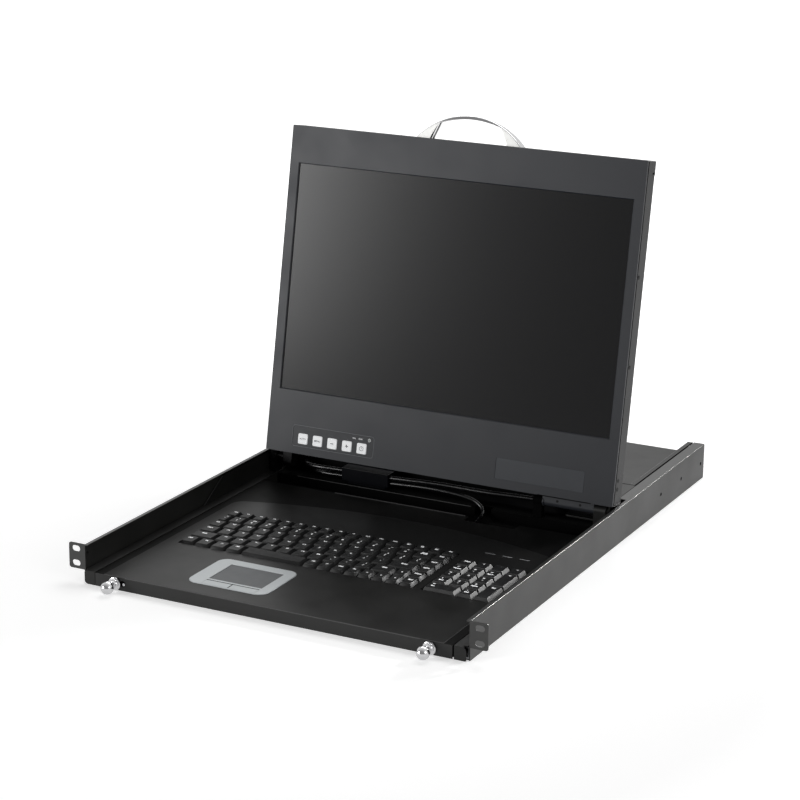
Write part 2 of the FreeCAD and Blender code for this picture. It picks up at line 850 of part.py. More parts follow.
def hinge_bracket_right():
    """Upright from the tray's floor beside the barrel, with its pin and a foot plate behind."""
    inner = barrel_x1 + knuckle_gap
    outer = inner + right_bracket_width
    disc = rod(bracket_r, Vec(inner, pivot_y, pivot_z), Vec(outer, pivot_y, pivot_z))
    stem = box(inner, outer, pivot_y - bracket_r, pivot_y + bracket_r, floor_top, pivot_z)
    pin = rod(pin_r, Vec(barrel_x1 - pin_reach, pivot_y, pivot_z), Vec(inner, pivot_y, pivot_z))
    foot_right = cover_half_width - cover_sheet
    foot = flat_plate(foot_left, foot_right, foot_front, cover_skirt, deck_top, deck_top + foot_sheet,
                      (foot_corner, 0, 0, 0))
    base = box(inner, foot_right, pivot_y - bracket_r, foot_front + foot_corner, deck_top,
               deck_top + foot_sheet)
    return fuse([disc, stem, pin, foot, base])


def hinge_crossbar():
    """Inverted channel across the tray that carries the cable clip, notched for the keyboard cable."""
    x0 = -web_inner
    x1 = barrel_x1 + knuckle_gap
    s = crossbar_sheet
    outer = box(x0, x1, crossbar_front, crossbar_back, floor_top, crossbar_top)
    inner = box(x0, x1, crossbar_front + s, crossbar_back - s, floor_top, crossbar_top - s)
    middle = keyboard_cable_points()[13].x
    half = crossbar_notch_width / 2
    notch = box(middle - half, middle + half, crossbar_front - 1, crossbar_front + crossbar_notch_depth,
                floor_top, crossbar_top + 1)
    return cut(outer, [inner, notch])


def hinge_cover():
    s = cover_sheet
    top = box(-cover_half_width, cover_half_width, cover_front, cover_end, box_top - s, box_top)
    skirt = box(-web_inner, web_inner, cover_skirt, cover_skirt + s, floor_top, box_top)
    side = box(cover_half_width - s, cover_half_width, cover_front, cover_end, deck_top, box_top)
    holes = []
    for points, radius in ((screen_cable_points(), screen_cable_r), (keyboard_cable_points(), keyboard_cable_r)):
        start = points[0]
        centre = Vec(start.x, cover_skirt - 1, start.z)
        holes.append(rod(radius + cable_hole_play, centre, centre.add(Vec(0, s + 2, 0))))
    return cut(fuse([top, skirt, side, mirrored(side)]), holes)


# ---------- cables, clip and clamp ----------

def screen_cable_points():
    """From the hinge cover, along the crossbar, through the clip and into the right knuckle."""
    return [Vec(-181, 412, 27.4), Vec(-180.6, 396, 27.2), Vec(-172, 384.5, 27.0), Vec(-155, 380.0, 27.7),
            Vec(-136, 380.3, 28.5), Vec(-114, 380.1, 28.6), Vec(-92, 380.3, 28.7), Vec(-68, 380.0, 28.7),
            Vec(-40, 379.6, 29.9), Vec(-8, 380.4, 31.4), Vec(26, 380.7, 31.4), Vec(58, 379.9, 31.3),
            Vec(88, 380.3, 32.4), Vec(114, pivot_y, pivot_z), Vec(137, pivot_y + 0.2, pivot_z + 0.1)]


def keyboard_cable_points():
    """Beside the screen cable as far as the clip, then down through the deck's notch to the keyboard."""
    return [Vec(-171, 412, 20.8), Vec(-170.8, 397, 20.6), Vec(-162.5, 385.5, 20.7), Vec(-147, 380.6, 21.4),
            Vec(-128, 380.2, 22.0), Vec(-108, 380.1, 22.1), Vec(-90, 379.9, 22.3), Vec(-68, 380.1, 22.2),
            Vec(-44, 379.6, 23.6), Vec(-18, 379.2, 25.0), Vec(8, 378.7, 24.9), Vec(32, 378.5, 23.2),
            Vec(49, 378.0, 19.8), Vec(59, 374.6, 13.4), Vec(63.5, 364, 8.8), Vec(64.5, 345, 7.3),
            Vec(64.0, 318, 7.4), Vec(64.6, 290, 7.0), Vec(64.4, 256, 7.1), Vec(64.4, keyboard_back(), 7.1)]


def keyboard_back():
    return keys_front + 5 * row_pitch + function_row_depth + base_margin


def cord(points, radius, name):
    """Round tube along straight runs joined by tangent arcs."""
    edges = []
    start = points[0]
    smallest = None
    for before, corner, after in zip(points, points[1:], points[2:]):
        back = before.sub(corner)
        ahead = after.sub(corner)
        reach = 0.45 * min(back.Length, ahead.Length)
        back.normalize()
        ahead.normalize()
        turn = math.pi - back.getAngle(ahead)
        bend = reach / math.tan(turn / 2)
        smallest = bend if smallest is None else min(smallest, bend)
        into = corner.add(back * reach)
        out = corner.add(ahead * reach)
        inward = back.add(ahead)
        inward.normalize()
        middle = corner.add(inward * (bend / math.cos(turn / 2) - bend))
        edges.append(Part.LineSegment(start, into).toShape())
        edges.append(Part.Arc(into, middle, out).toShape())
        start = out
    edges.append(Part.LineSegment(start, points[-1]).toShape())
    path = Part.Wire(edges)
    section = Part.Wire(Part.makeCircle(radius, points[0], points[1].sub(points[0])))
    tube = path.makePipeShell([section], True, False)
    expected = math.pi * radius ** 2 * path.Length
    print(name, "length", round(path.Length, 1), "smallest bend", round(smallest, 1),
          "volume ratio", round(tube.Volume / expected, 4))
    return tube


def cable_clip():
    block = box(clip_x0, clip_x1, clip_y0, clip_y1, clip_z0, clip_z1)
    top = edges_where(block, lambda p: near(p.y, clip_y0) or near(p.z, clip_z1))
    front = [edge for edge in top if edge.Length > clip_foot * 3 or near(edge.BoundBox.YMin, clip_y0)]
    block = block.makeFillet(0.6, front)
    feet = box(clip_x0 + clip_foot, clip_x1 - clip_foot, clip_y0 + 4, clip_y1 - 4, crossbar_top, clip_z0)
    body = fuse([block, feet])
    holes = []
    for points, radius in ((screen_cable_points(), screen_cable_r), (keyboard_cable_points(), keyboard_cable_r)):
        at = points[6]
        holes.append(rod(radius + cable_hole_play, Vec(clip_x0 - 1, at.y, at.z), Vec(clip_x1 + 1, at.y, at.z)))
    return cut(body, holes)


def cable_clamp():
    disc = rod(clamp_r, Vec(clamp_x0, pivot_y, pivot_z), Vec(clamp_x1, pivot_y, pivot_z))
    stem = box(clamp_x0, clamp_x1, pivot_y - clamp_stem / 2, pivot_y + clamp_stem / 2, crossbar_top, pivot_z)
    hole = rod(screen_cable_r + cable_hole_play, Vec(clamp_x0 - 1, pivot_y, pivot_z),
               Vec(clamp_x1 + 1, pivot_y, pivot_z))
    return fuse([disc, stem]).cut(hole)


# ---------- rear box ----------

def lid_half():
    return box_half_width - floor_sheet - lid_play


def electronics_cover():
    half = lid_half()
    top = box(-half, half, lid_front, lid_end, box_top - lid_sheet, box_top)
    skirt = box(-half, half, lid_front, lid_front + lid_sheet, floor_top, box_top)
    return fuse([top, skirt])


def board_back():
    return lid_end - lid_sheet - 0.5


def main_board():
    z0 = floor_top + board_height
    board = box(board_x0, board_x1, board_y0, board_back(), z0, z0 + board_sheet)
    posts = []
    for x in (board_x0 + 8, board_x1 - 8):
        for y in (board_y0 + 8, board_back() - 24):
            posts.append(rod(3.0, Vec(x, y, floor_top), Vec(x, y, z0)))
    chips = []
    for i, size in enumerate((24, 18, 14, 14)):
        x = board_x0 + 30 + i * 40
        chips.append(box(x, x + size, board_y0 + 30, board_y0 + 30 + size, z0 + board_sheet,
                         z0 + board_sheet + 2))
    header = box(board_x0 + 10, board_x0 + 50, board_y0 + 6, board_y0 + 12, z0 + board_sheet,
                 z0 + board_sheet + 6)
    return fuse([board, header] + posts + chips)


def power_supply():
    """Sheet case, open towards the front for its wires."""
    s = supply_sheet
    top = floor_top + supply_height
    case = box(supply_x0, supply_x1, supply_y0, board_back(), floor_top, top)
    inside = box(supply_x0 + s, supply_x1 - s, supply_y0 - 1, board_back() - s, floor_top + s, top - s)
    slots = [inside]
    for i in range(9):
        x = supply_x0 + 12 + i * 8
        slots.append(box(x, x + 3, supply_y0 + 20, supply_y0 + 90, top - 2 * s, top + 1))
    return cut(case, slots)


def port(x, width, z0, z1, depth_in, depth_out, corner):
    """Connector body through the rear panel, rounded at its corners."""
    panel = lid_end
    return front_plate(x - width / 2, x + width / 2, z0, z1, panel - depth_in, panel + depth_out, [corner] * 4)


def rear_ports():
    """Centre, width, low and high edge of each connector in the rear panel."""
    base = floor_top + board_height + board_sheet
    return {
        "video": (-115.0, 17.0, base + 2.0, base + 10.5, 2.0),
        "usb": (-60.0, 12.0, base, base + 11.0, 1.0),
        "mouse": (-20.0, 14.0, base, base + 13.0, 4.0),
        "keyboard": (8.0, 14.0, base, base + 13.0, 4.0),
        "inlet": (142.0, 27.0, floor_top + 6.0, floor_top + 26.0, 3.0),
    }


def rear_connectors():
    bodies = []
    for name, (x, width, z0, z1, corner) in rear_ports().items():
        reach = 5.5 if name == "video" else 1.5
        back = 1.2 if name == "inlet" else 14.0
        body = port(x, width, z0, z1, back, reach, corner)
        if name == "video":
            base = floor_top + board_height + board_sheet
            seat = box(x - width / 2, x + width / 2, lid_end - back, lid_end - lid_sheet, base, z0 + 2)
            body = fuse([body, seat])
        bodies.append(body)
    return bodies


def rear_panel():
    half = lid_half()
    panel = box(-half, half, lid_end - lid_sheet, lid_end, floor_top, box_top - lid_sheet)
    holes = []
    for x, width, z0, z1, corner in rear_ports().values():
        holes.append(port(x, width, z0, z1, 3, 3, corner))
    return cut(panel, holes)


# ---------- fasteners on the tray ----------

def screw(seat, out, radius, height):
    head = rod(radius, seat, seat.add(out * height))
    end = seat.add(out * height)
    rim = [edge for edge in head.Edges if edge.BoundBox.Center.sub(end).Length < 0.01]
    return head.makeChamfer(height * 0.4, rim)


def tray_screws():
    heads = []
    left_x = (left_bracket_inner - bracket_outer) / 2
    for z in (pivot_z - 1.0, pivot_z - 10.0):
        seat = Vec(left_x, pivot_y - bracket_r, z)
        heads.append(screw(seat, Vec(0, -1, 0), 2.0, 0.35))
    half = lid_half()
    for x in (-half + 8, 0, half - 8):
        heads.append(screw(Vec(x, lid_end, box_top - 8), Y_AXIS, 2.8, 1.8))
    return heads


# ---------- screen ----------

def lcd_front_bezel():
    half = screen_half
    face = front_plate(-half, half, 0, screen_height, 0, bezel_return, [1.0] * 4)
    s = shell_sheet
    hollow = box(-half + s, half - s, bezel_sheet, bezel_return + 1, s, screen_height - s)
    view = box(-view_half_width, view_half_width, -1, bezel_return, view_bottom, view_top)
    plate = front_plate(osd_x0 - osd_play, osd_x1 + osd_play, osd_t0 - osd_play, osd_t1 + osd_play,
                        -1, bezel_return, [osd_corner + osd_play] * 4)
    label = front_plate(label_x0, label_x1, label_t0, label_t1, -1, label_depth, [1.5] * 4)
    bezel = cut(face, [hollow, view, plate, label])
    rim = edges_where(bezel, lambda p: near(p.y, 0) and abs(p.x) < view_half_width + 0.1
                      and view_bottom - 0.1 < p.z < view_top + 0.1)
    bezel = bezel.makeChamfer(view_bevel, rim)
    return raised_screen(bezel)


def catch_box(grow):
    return box(screen_half - catch_width - grow, screen_half + 1, bezel_return, screen_thickness + 1,
               catch_t - grow, screen_height + 1)


def side_screw_seats():
    """Height and depth of the screws along each side of the screen."""
    return [(18.6, 10.0), (28.2, 10.0), (153.0, 9.0), (251.0, 8.6)]


def side_screw(side, height, depth, radius):
    start = Vec(side * (screen_half - side_screw_depth), depth, height)
    return rod(radius, start, Vec(side * (screen_half + side_screw_proud), depth, height))


def lcd_rear_shell():
    half = screen_half
    s = shell_sheet
    body = box(-half, half, bezel_return, screen_thickness, 0, screen_height)
    edges = edges_where(body, lambda p: near(p.y, screen_thickness))
    body = body.makeFillet(shell_edge, edges)
    hollow = box(-half + s, half - s, bezel_return - 1, screen_thickness - s, s, screen_height - s)
    corner = catch_box(0)
    vents = []
    for row in range(vent_rows):
        t = 230.0 + row * vent_pitch
        for column in (-1.5, -0.5, 0.5, 1.5):
            x = column * (vent_length + 8)
            vents.append(box(x - vent_length / 2, x + vent_length / 2, screen_thickness - 2 * s,
                             screen_thickness + 1, t, t + vent_width))
    seats = []
    for side in (-1, 1):
        seats += [side_screw(side, t, w, side_screw_r) for t, w in side_screw_seats()]
    hole_x = barrel_x0 + cable_bore_length - cable_bore_r
    cable_hole = rod(cable_bore_r, Vec(hole_x, pivot_behind_face, -1), Vec(hole_x, pivot_behind_face, s + 1))
    shell = cut(body, [hollow, corner, mirrored(corner), cable_hole] + vents + seats)
    return raised_screen(shell)


def lcd_glass():
    m = glass_overlap
    return raised_screen(box(-view_half_width - m, view_half_width + m, bezel_sheet,
                             bezel_sheet + glass_thickness, view_bottom - m, view_top + m))


def lcd_module():
    m = module_margin
    y0 = bezel_sheet + glass_thickness
    body = box(-view_half_width - m, view_half_width + m, y0, y0 + module_thickness, view_bottom - m,
               view_top + m)
    ears = []
    for side in (-1, 1):
        outer = side * (screen_half - shell_sheet)
        inner = side * (view_half_width + m)
        for t in (view_bottom + 30, view_top - 30):
            ears.append(box(min(outer, inner), max(outer, inner), y0, y0 + 3, t - 12, t + 12))
    return raised_screen(fuse([body] + ears))


def lcd_driver_boards():
    """Display board on the module's back and the small board behind the five buttons."""
    back = bezel_sheet + glass_thickness + module_thickness
    board = box(-90, 90, back + 3, back + 4.6, 110, 205)
    posts = [rod(3.0, Vec(x, back, t), Vec(x, back + 3, t)) for x in (-82, 82) for t in (118, 197)]
    chip = box(-15, 15, back + 4.6, back + 7, 140, 170)
    y0 = osd_board_front()
    switch_board = box(osd_x0, osd_x1, y0, y0 + 1.6, osd_t0, osd_t1)
    legs = [box(x - 2, x + 2, y0 + 1.6, screen_thickness - shell_sheet, osd_t0, osd_t1)
            for x in (osd_x0 + 3, osd_x1 - 3)]
    return [raised_screen(fuse([board, chip] + posts)), raised_screen(fuse([switch_board] + legs))]


def osd_board_front():
    return osd_sink + osd_sheet + 2.5 + osd_button_travel


def button_places():
    return [osd_button_first + i * osd_button_pitch for i in range(5)]


def osd_button_block(x, grow, y0, y1):
    half = osd_button / 2 + grow
    return front_plate(x - half, x + half, osd_button_t - half, osd_button_t + half, y0, y1,
                       [osd_button_corner + grow] * 4)


def osd_plate():
    back = osd_sink + osd_sheet
    face = front_plate(osd_x0, osd_x1, osd_t0, osd_t1, osd_sink, back, [osd_corner] * 4)
    flange = box(osd_x0 - osd_flange, osd_x1 + osd_flange, bezel_sheet, back, osd_t0 - osd_flange,
                 osd_t1 + osd_flange)
    holes = [osd_button_block(x, osd_button_play, -1, back + 1) for x in button_places()]
    lamp = rod(lamp_r, Vec(lamp_x, -1, lamp_t), Vec(lamp_x, back + 1, lamp_t))
    return raised_screen(cut(fuse([face, flange]), holes + [lamp]))


def osd_button_piece(x):
    back = osd_sink + osd_sheet
    cap = osd_button_block(x, 0, -osd_button_proud, back + 0.3)
    rim = edges_where(cap, lambda p: near(p.y, -osd_button_proud))
    cap = cap.makeChamfer(0.3, rim)
    flange = osd_button_block(x, 1.2, back + 0.3, back + 1.3)
    return raised_screen(fuse([cap, flange]))


def power_lamp():
    back = osd_sink + osd_sheet
    lens = rod(lamp_r, Vec(lamp_x, 0, lamp_t), Vec(lamp_x, back + 1, lamp_t))
    rim = edges_where(lens, lambda p: near(p.y, 0))
    return raised_screen(lens.makeChamfer(0.3, rim))


def lcd_screws():
    heads = []
    for side in (-1, 1):
        heads += [side_screw(side, t, w, side_screw_r) for t, w in side_screw_seats()]
    heads += [barrel_screw(x) for x in barrel_screw_places()]
    return [raised_screen(head) for head in heads]


def corner_catch():
    body = catch_box(0).common(box(0, screen_half, 0, screen_thickness, 0, screen_height))
    slot = box(screen_half - 1.5, screen_half + 1, catch_slot_w, catch_slot_w + catch_slot_length,
               catch_t + 1.0, catch_t + 1.0 + catch_slot)
    edges = edges_where(body, lambda p: near(p.x, screen_half) and near(p.z, screen_height))
    return body.makeFillet(1.2, edges).cut(slot)


def lcd_handle():
    """Arched handle on the screen's top edge: arcs outside and inside, deep feet and a slim top."""
    top = screen_height
    foot = handle_span / 2
    inner_foot = handle_opening / 2
    shoulder = handle_shoulder / 2
    y0 = handle_middle - handle_foot_depth / 2
    points = {
        "outer_left": Vec(-foot, y0, top), "outer_top": Vec(0, y0, top + handle_rise),
        "outer_right": Vec(foot, y0, top), "inner_right": Vec(inner_foot, y0, top),
        "shoulder_right": Vec(shoulder, y0, top + handle_shoulder_rise),
        "inner_top": Vec(0, y0, top + handle_inner_rise),
        "shoulder_left": Vec(-shoulder, y0, top + handle_shoulder_rise),
        "inner_left": Vec(-inner_foot, y0, top),
    }
    p = points
    edges = [Part.Arc(p["outer_left"], p["outer_top"], p["outer_right"]).toShape(),
             Part.makeLine(p["outer_right"], p["inner_right"]),
             Part.makeLine(p["inner_right"], p["shoulder_right"]),
             Part.Arc(p["shoulder_right"], p["inner_top"], p["shoulder_left"]).toShape(),
             Part.makeLine(p["shoulder_left"], p["inner_left"]),
             Part.makeLine(p["inner_left"], p["outer_left"])]
    arch = Part.Face(Part.Wire(edges)).extrude(Vec(0, handle_foot_depth, 0))
    slim = handle_top_depth / 2
    wide = handle_foot_depth / 2
    taper = prism([Vec(-foot, handle_middle - wide, top), Vec(-foot, handle_middle + wide, top),
                   Vec(-foot, handle_middle + slim, top + handle_rise),
                   Vec(-foot, handle_middle - slim, top + handle_rise)], Vec(2 * foot, 0, 0))
    handle = arch.common(taper)
    crown = [edge for edge in handle.Edges if edge.BoundBox.ZMin < top + 0.01
             and edge.BoundBox.ZMax > top + handle_rise - 0.5 and edge.Length > handle_span / 2]
    handle = handle.makeChamfer(handle_edge, crown)
    return raised_screen(handle)


# ---------- write every piece ----------

def write_chassis():
    side = chassis_side()
    outer = slide_outer()
    rivet = chassis_rivet()
    save("chassis_pan", [chassis_pan()])
    save("chassis_side_left", [mirrored(side)])
    save("chassis_side_right", [side])
    save("slide_outer_left", [mirrored(outer)])
    save("slide_outer_right", [outer])
    save("chassis_rivets", [rivet, mirrored(rivet)])


def write_slides():
    middle = slide_middle()
    inner = slide_inner()
    save("slide_middle_left", [mirrored(middle)])
    save("slide_middle_right", [middle])
    save("slide_inner_left", [mirrored(inner)])
    save("slide_inner_right", [inner])


def write_tray():
    save("tray_rail_left", [mirrored(tray_rail(tab_outer_corners_left))])
    save("tray_rail_right", [tray_rail(tab_outer_corners_right)])
    save("tray_pan", [tray_pan()])
    save("keyboard_deck", [keyboard_deck()])
    save("keyboard_base", [keyboard_base()])
    save("touchpad_bezel", [touchpad_bezel()])
    save("touchpad_plate", [touchpad_plate()])
    save("knob_bushings", [knob_bushing(-1), knob_bushing(1)])
    save("hinge_bracket_left", [hinge_bracket_left()])
    save("hinge_bracket_right", [hinge_bracket_right()])
    save("hinge_crossbar", [hinge_crossbar()])
    save("hinge_cover", [hinge_cover()])
    save("cable_clips", [cable_clip(), cable_clamp()])
    save("screen_cable", [cord(screen_cable_points(), screen_cable_r, "screen_cable")])
    save("keyboard_cable", [cord(keyboard_cable_points(), keyboard_cable_r, "keyboard_cable")])
    save("electronics_cover", [electronics_cover()])
    save("main_board", [main_board()])
    save("power_supply", [power_supply()])
    save("rear_panel", [rear_panel()])
    save("rear_connectors", rear_connectors())
    save("tray_screws", tray_screws())


def write_pressed_pieces():
    for name, outlines in key_groups().items():
        save(name, [keycap(*outline) for outline in outlines])
    for side, name in ((-1, "left"), (1, "right")):
        save("touchpad_button_" + name, [touchpad_button(side)])
        save("pull_knob_" + name, [pull_knob(side)])
    names = ["auto", "menu", "minus", "plus", "power"]
    for name, x in zip(names, button_places()):
        save("screen_button_" + name, [osd_button_piece(x)])


def write_screen():
    catch = corner_catch()
    save("lcd_front_bezel", [lcd_front_bezel()])
    save("lcd_rear_shell", [lcd_rear_shell()])
    save("lcd_glass", [lcd_glass()])
    save("lcd_module", [lcd_module()])
    save("lcd_driver_boards", lcd_driver_boards())
    save("osd_plate", [osd_plate()])
    save("hinge_knuckle_left", [hinge_knuckle_left()])
    save("hinge_knuckle_right", [hinge_knuckle_right()])
    save("lcd_handle", [lcd_handle()])
    save("lcd_screws", lcd_screws())
    save("power_lamp", [power_lamp()])
    save("corner_catches", [raised_screen(mirrored(catch)), raised_screen(catch)])


os.makedirs("parts", exist_ok=True)
write_chassis()
write_slides()
write_tray()
write_pressed_pieces()
write_screen()
print("pivot", round(pivot_y, 2), round(pivot_z - slot_middle, 2), "face", round(face_y, 2), round(face_z, 2))
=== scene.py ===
import bpy
import bmesh
import json
import math
from mathutils import Matrix, Vector

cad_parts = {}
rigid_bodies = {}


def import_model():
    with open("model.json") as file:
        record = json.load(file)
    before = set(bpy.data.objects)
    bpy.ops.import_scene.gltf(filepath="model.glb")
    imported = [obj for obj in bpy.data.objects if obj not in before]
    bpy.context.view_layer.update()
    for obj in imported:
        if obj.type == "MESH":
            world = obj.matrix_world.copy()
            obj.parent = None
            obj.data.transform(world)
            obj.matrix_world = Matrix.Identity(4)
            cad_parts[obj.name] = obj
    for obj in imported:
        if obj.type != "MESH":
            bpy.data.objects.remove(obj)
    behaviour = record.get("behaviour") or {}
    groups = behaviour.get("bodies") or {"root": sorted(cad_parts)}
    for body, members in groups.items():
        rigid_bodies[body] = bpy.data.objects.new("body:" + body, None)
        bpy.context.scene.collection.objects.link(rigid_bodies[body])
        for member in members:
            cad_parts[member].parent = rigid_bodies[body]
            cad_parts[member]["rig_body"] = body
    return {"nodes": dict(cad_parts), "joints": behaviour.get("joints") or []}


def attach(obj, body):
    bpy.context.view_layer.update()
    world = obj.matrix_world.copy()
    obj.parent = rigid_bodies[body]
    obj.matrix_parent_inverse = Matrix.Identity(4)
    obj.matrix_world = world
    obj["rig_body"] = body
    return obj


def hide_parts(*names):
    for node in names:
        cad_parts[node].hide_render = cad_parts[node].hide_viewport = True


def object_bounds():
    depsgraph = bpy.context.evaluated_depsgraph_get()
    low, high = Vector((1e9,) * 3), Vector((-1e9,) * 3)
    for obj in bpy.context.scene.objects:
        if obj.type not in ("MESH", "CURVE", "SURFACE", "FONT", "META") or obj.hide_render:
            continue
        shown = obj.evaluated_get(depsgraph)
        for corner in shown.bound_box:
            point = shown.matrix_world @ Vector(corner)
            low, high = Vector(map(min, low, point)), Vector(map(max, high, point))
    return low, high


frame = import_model()
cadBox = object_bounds()
nodes = frame["nodes"]
mm = 0.001
datumHeight = 27.5  # the frame's zero above the drawer's underside


def tell(text):
    print("console drawer: " + text)


# a point given in mm: across, back from the ears' front, up from the underside
def at(x, y, z):
    return Vector((x * mm, y * mm, (z - datumHeight) * mm))


# the screen's own frame: across, up its face from the lower edge, and behind the face
screenFrame = {"belowEdge": 8.4, "behindFace": 16.85, "lean": math.radians(10.2)}
hingePlace = Vector(next(j["pos_m"] for j in frame["joints"] if j["name"] == "screen_hinge")) / mm
faceTurn = Matrix.Rotation(math.radians(90) - screenFrame["lean"], 4, "X")  # lays a flat shape on the face


def screenAt(x, up, behind):
    s = screenFrame
    rise = up + s["belowEdge"]
    depth = behind - s["behindFace"]
    y = hingePlace.y + rise * math.sin(s["lean"]) + depth * math.cos(s["lean"])
    z = hingePlace.z + rise * math.cos(s["lean"]) - depth * math.sin(s["lean"])
    return Vector((x * mm, y * mm, z * mm))


finishes = {}  # every material by its name
mixColour = {"factor": 0, "dark": 6, "light": 7, "result": 2}  # sockets of a Mix node set to RGBA
mixNumber = {"factor": 0, "low": 2, "high": 3, "result": 0}  # and of one set to FLOAT


def join(tree, source, output, target, socket):
    tree.links.new(source.outputs[output], target.inputs[socket])


def addNode(tree, kind, **settings):
    node = tree.nodes.new(kind)
    for name, value in settings.items():
        if name in node.inputs:
            node.inputs[name].default_value = value
        else:
            setattr(node, name, value)
    return node


def startFinish(name, tone, roughness, metallic=0.0, specular=0.5, glow=0.0):
    finish = bpy.data.materials.new(name)
    finish.use_nodes = True
    shader = finish.node_tree.nodes["Principled BSDF"]
    for socket, value in (("Base Color", (*tone, 1)), ("Roughness", roughness), ("Metallic", metallic),
                          ("Specular IOR Level", specular)):
        shader.inputs[socket].default_value = value
    if glow:
        shader.inputs["Emission Color"].default_value = (*tone, 1)
        shader.inputs["Emission Strength"].default_value = glow
    finishes[name] = finish
    return finish.node_tree, shader


def objectPlace(tree, stretch=(1, 1, 1)):
    mapping = addNode(tree, "ShaderNodeMapping", Scale=stretch)
    join(tree, addNode(tree, "ShaderNodeTexCoord"), "Object", mapping, "Vector")
    return mapping


def noiseOn(tree, place, size, detail=3.0, rough=0.55):
    # size is the pattern's grain in mm
    noise = addNode(tree, "ShaderNodeTexNoise", Scale=1 / (size * mm), Detail=detail, Roughness=rough)
    join(tree, place, "Vector", noise, "Vector")
    return noise


def spread(tree, source, output, low, high, start=0.3, end=0.7):
    node = addNode(tree, "ShaderNodeMapRange")
    for socket, value in (("From Min", start), ("From Max", end), ("To Min", low), ("To Max", high)):
        node.inputs[socket].default_value = value
    join(tree, source, output, node, "Value")
    return node


def tintBetween(tree, source, output, shader, dark, light):
    mix = addNode(tree, "ShaderNodeMix", data_type="RGBA")
    mix.inputs[mixColour["dark"]].default_value = (*dark, 1)
    mix.inputs[mixColour["light"]].default_value = (*light, 1)
    join(tree, source, output, mix, mixColour["factor"])
    join(tree, mix, mixColour["result"], shader, "Base Color")


def varyTone(tree, source, shader, tone, dark, light=1.0, output="Fac"):
    # the tone moves between two shares of itself
    tintBetween(tree, source, output, shader, [c * dark for c in tone], [c * light for c in tone])


def varyGloss(tree, source, shader, low, high):
    join(tree, spread(tree, source, "Fac", low, high), "Result", shader, "Roughness")


def roughen(tree, source, shader, height, strength):
    bump = addNode(tree, "ShaderNodeBump", Strength=strength, Distance=height * mm)
    join(tree, source, "Fac", bump, "Height")
    join(tree, bump, "Normal", shader, "Normal")


def powderCoat(name, tone, roughness, specular=0.5, grain=0.55, height=0.02):
    tree, shader = startFinish(name, tone, roughness, specular=specular)
    place = objectPlace(tree)
    patches = noiseOn(tree, place, size=55, detail=2.0)
    speckle = noiseOn(tree, place, grain, detail=2.0, rough=0.7)
    varyTone(tree, patches, shader, tone, dark=0.86, light=1.14)
    varyGloss(tree, patches, shader, roughness - 0.05, roughness + 0.05)
    roughen(tree, speckle, shader, height, strength=0.5)


def mouldedPlastic(name, tone, roughness, specular=0.5, grain=0.25, height=0.012):
    tree, shader = startFinish(name, tone, roughness, specular=specular)
    place = objectPlace(tree)
    grip = noiseOn(tree, place, grain, detail=4.0, rough=0.65)
    wearAndSheen = noiseOn(tree, place, size=9, detail=2.0)
    varyTone(tree, wearAndSheen, shader, tone, dark=0.9, light=1.12)
    varyGloss(tree, wearAndSheen, shader, roughness - 0.06, roughness + 0.06)
    roughen(tree, grip, shader, height, strength=0.45)


def flakePaint(name, tone, roughness):
    tree, shader = startFinish(name, tone, roughness, metallic=0.25)
    flake = noiseOn(tree, objectPlace(tree), size=0.18, detail=1.0, rough=0.8)
    varyTone(tree, flake, shader, tone, dark=0.86, light=1.12)
    roughen(tree, flake, shader, height=0.006, strength=0.3)


def brushedSteel(name, tone, roughness, along=(1, 0.02, 1)):
    tree, shader = startFinish(name, tone, roughness, metallic=1.0)
    strokes = noiseOn(tree, objectPlace(tree, along), size=0.4, detail=4.0, rough=0.7)
    clouds = noiseOn(tree, objectPlace(tree), size=14)
    varyTone(tree, clouds, shader, tone, dark=0.82, light=1.08)
    varyGloss(tree, strokes, shader, roughness - 0.08, roughness + 0.1)
    roughen(tree, strokes, shader, height=0.006, strength=0.3)


def hazeOver(tree, place, shader, low, high):
    # faint haze and ripples on polished metal
    varyGloss(tree, noiseOn(tree, place, size=3, detail=4.0, rough=0.7), shader, low, high)
    roughen(tree, noiseOn(tree, place, size=6, detail=1.0), shader, height=0.01, strength=0.15)


def chromePlate(name, tone, roughness):
    tree, shader = startFinish(name, tone, roughness, metallic=1.0)
    hazeOver(tree, objectPlace(tree), shader, roughness * 0.6, roughness * 1.8)


# silver that glows as painted light
def silverWithPaintedLight(name, tone, roughness, glow, banded=False):
    tree, shader = startFinish(name, tone, roughness, metallic=0.35, glow=glow)
    place = objectPlace(tree)
    if banded:
        # painted reflection: stripes on the inner faces stand for the dark room, and the light stripes glow
        wave = addNode(tree, "ShaderNodeTexWave", bands_direction="Y", Scale=46.0, Distortion=0.2)
        join(tree, place, "Vector", wave, "Vector")
        stripes = spread(tree, wave, "Fac", 0.0, 1.0, start=0.5, end=0.7)
        varyTone(tree, stripes, shader, tone, dark=0.01, output="Result")
        lit = spread(tree, wave, "Fac", 0.0, glow, start=0.5, end=0.7)
        join(tree, lit, "Result", shader, "Emission Strength")
    hazeOver(tree, place, shader, roughness * 0.8, roughness * 1.2)


def rubberSheath(name, tone, roughness):
    tree, shader = startFinish(name, tone, roughness, specular=0.6)
    drag = noiseOn(tree, objectPlace(tree), size=9, detail=1.0)
    varyTone(tree, drag, shader, tone, dark=0.8, light=1.3)
    varyGloss(tree, drag, shader, roughness - 0.03, roughness + 0.03)


def mattGlass(name, tone, roughness, specular):
    # anti-glare film: fine sparkle and faint cloudiness
    tree, shader = startFinish(name, tone, roughness, specular=specular)
    place = objectPlace(tree)
    sparkle = noiseOn(tree, place, size=0.12, detail=1.0, rough=0.5)
    varyTone(tree, noiseOn(tree, place, size=120, detail=1.0), shader, tone, dark=0.85, light=1.15)
    roughen(tree, sparkle, shader, height=0.003, strength=0.2)


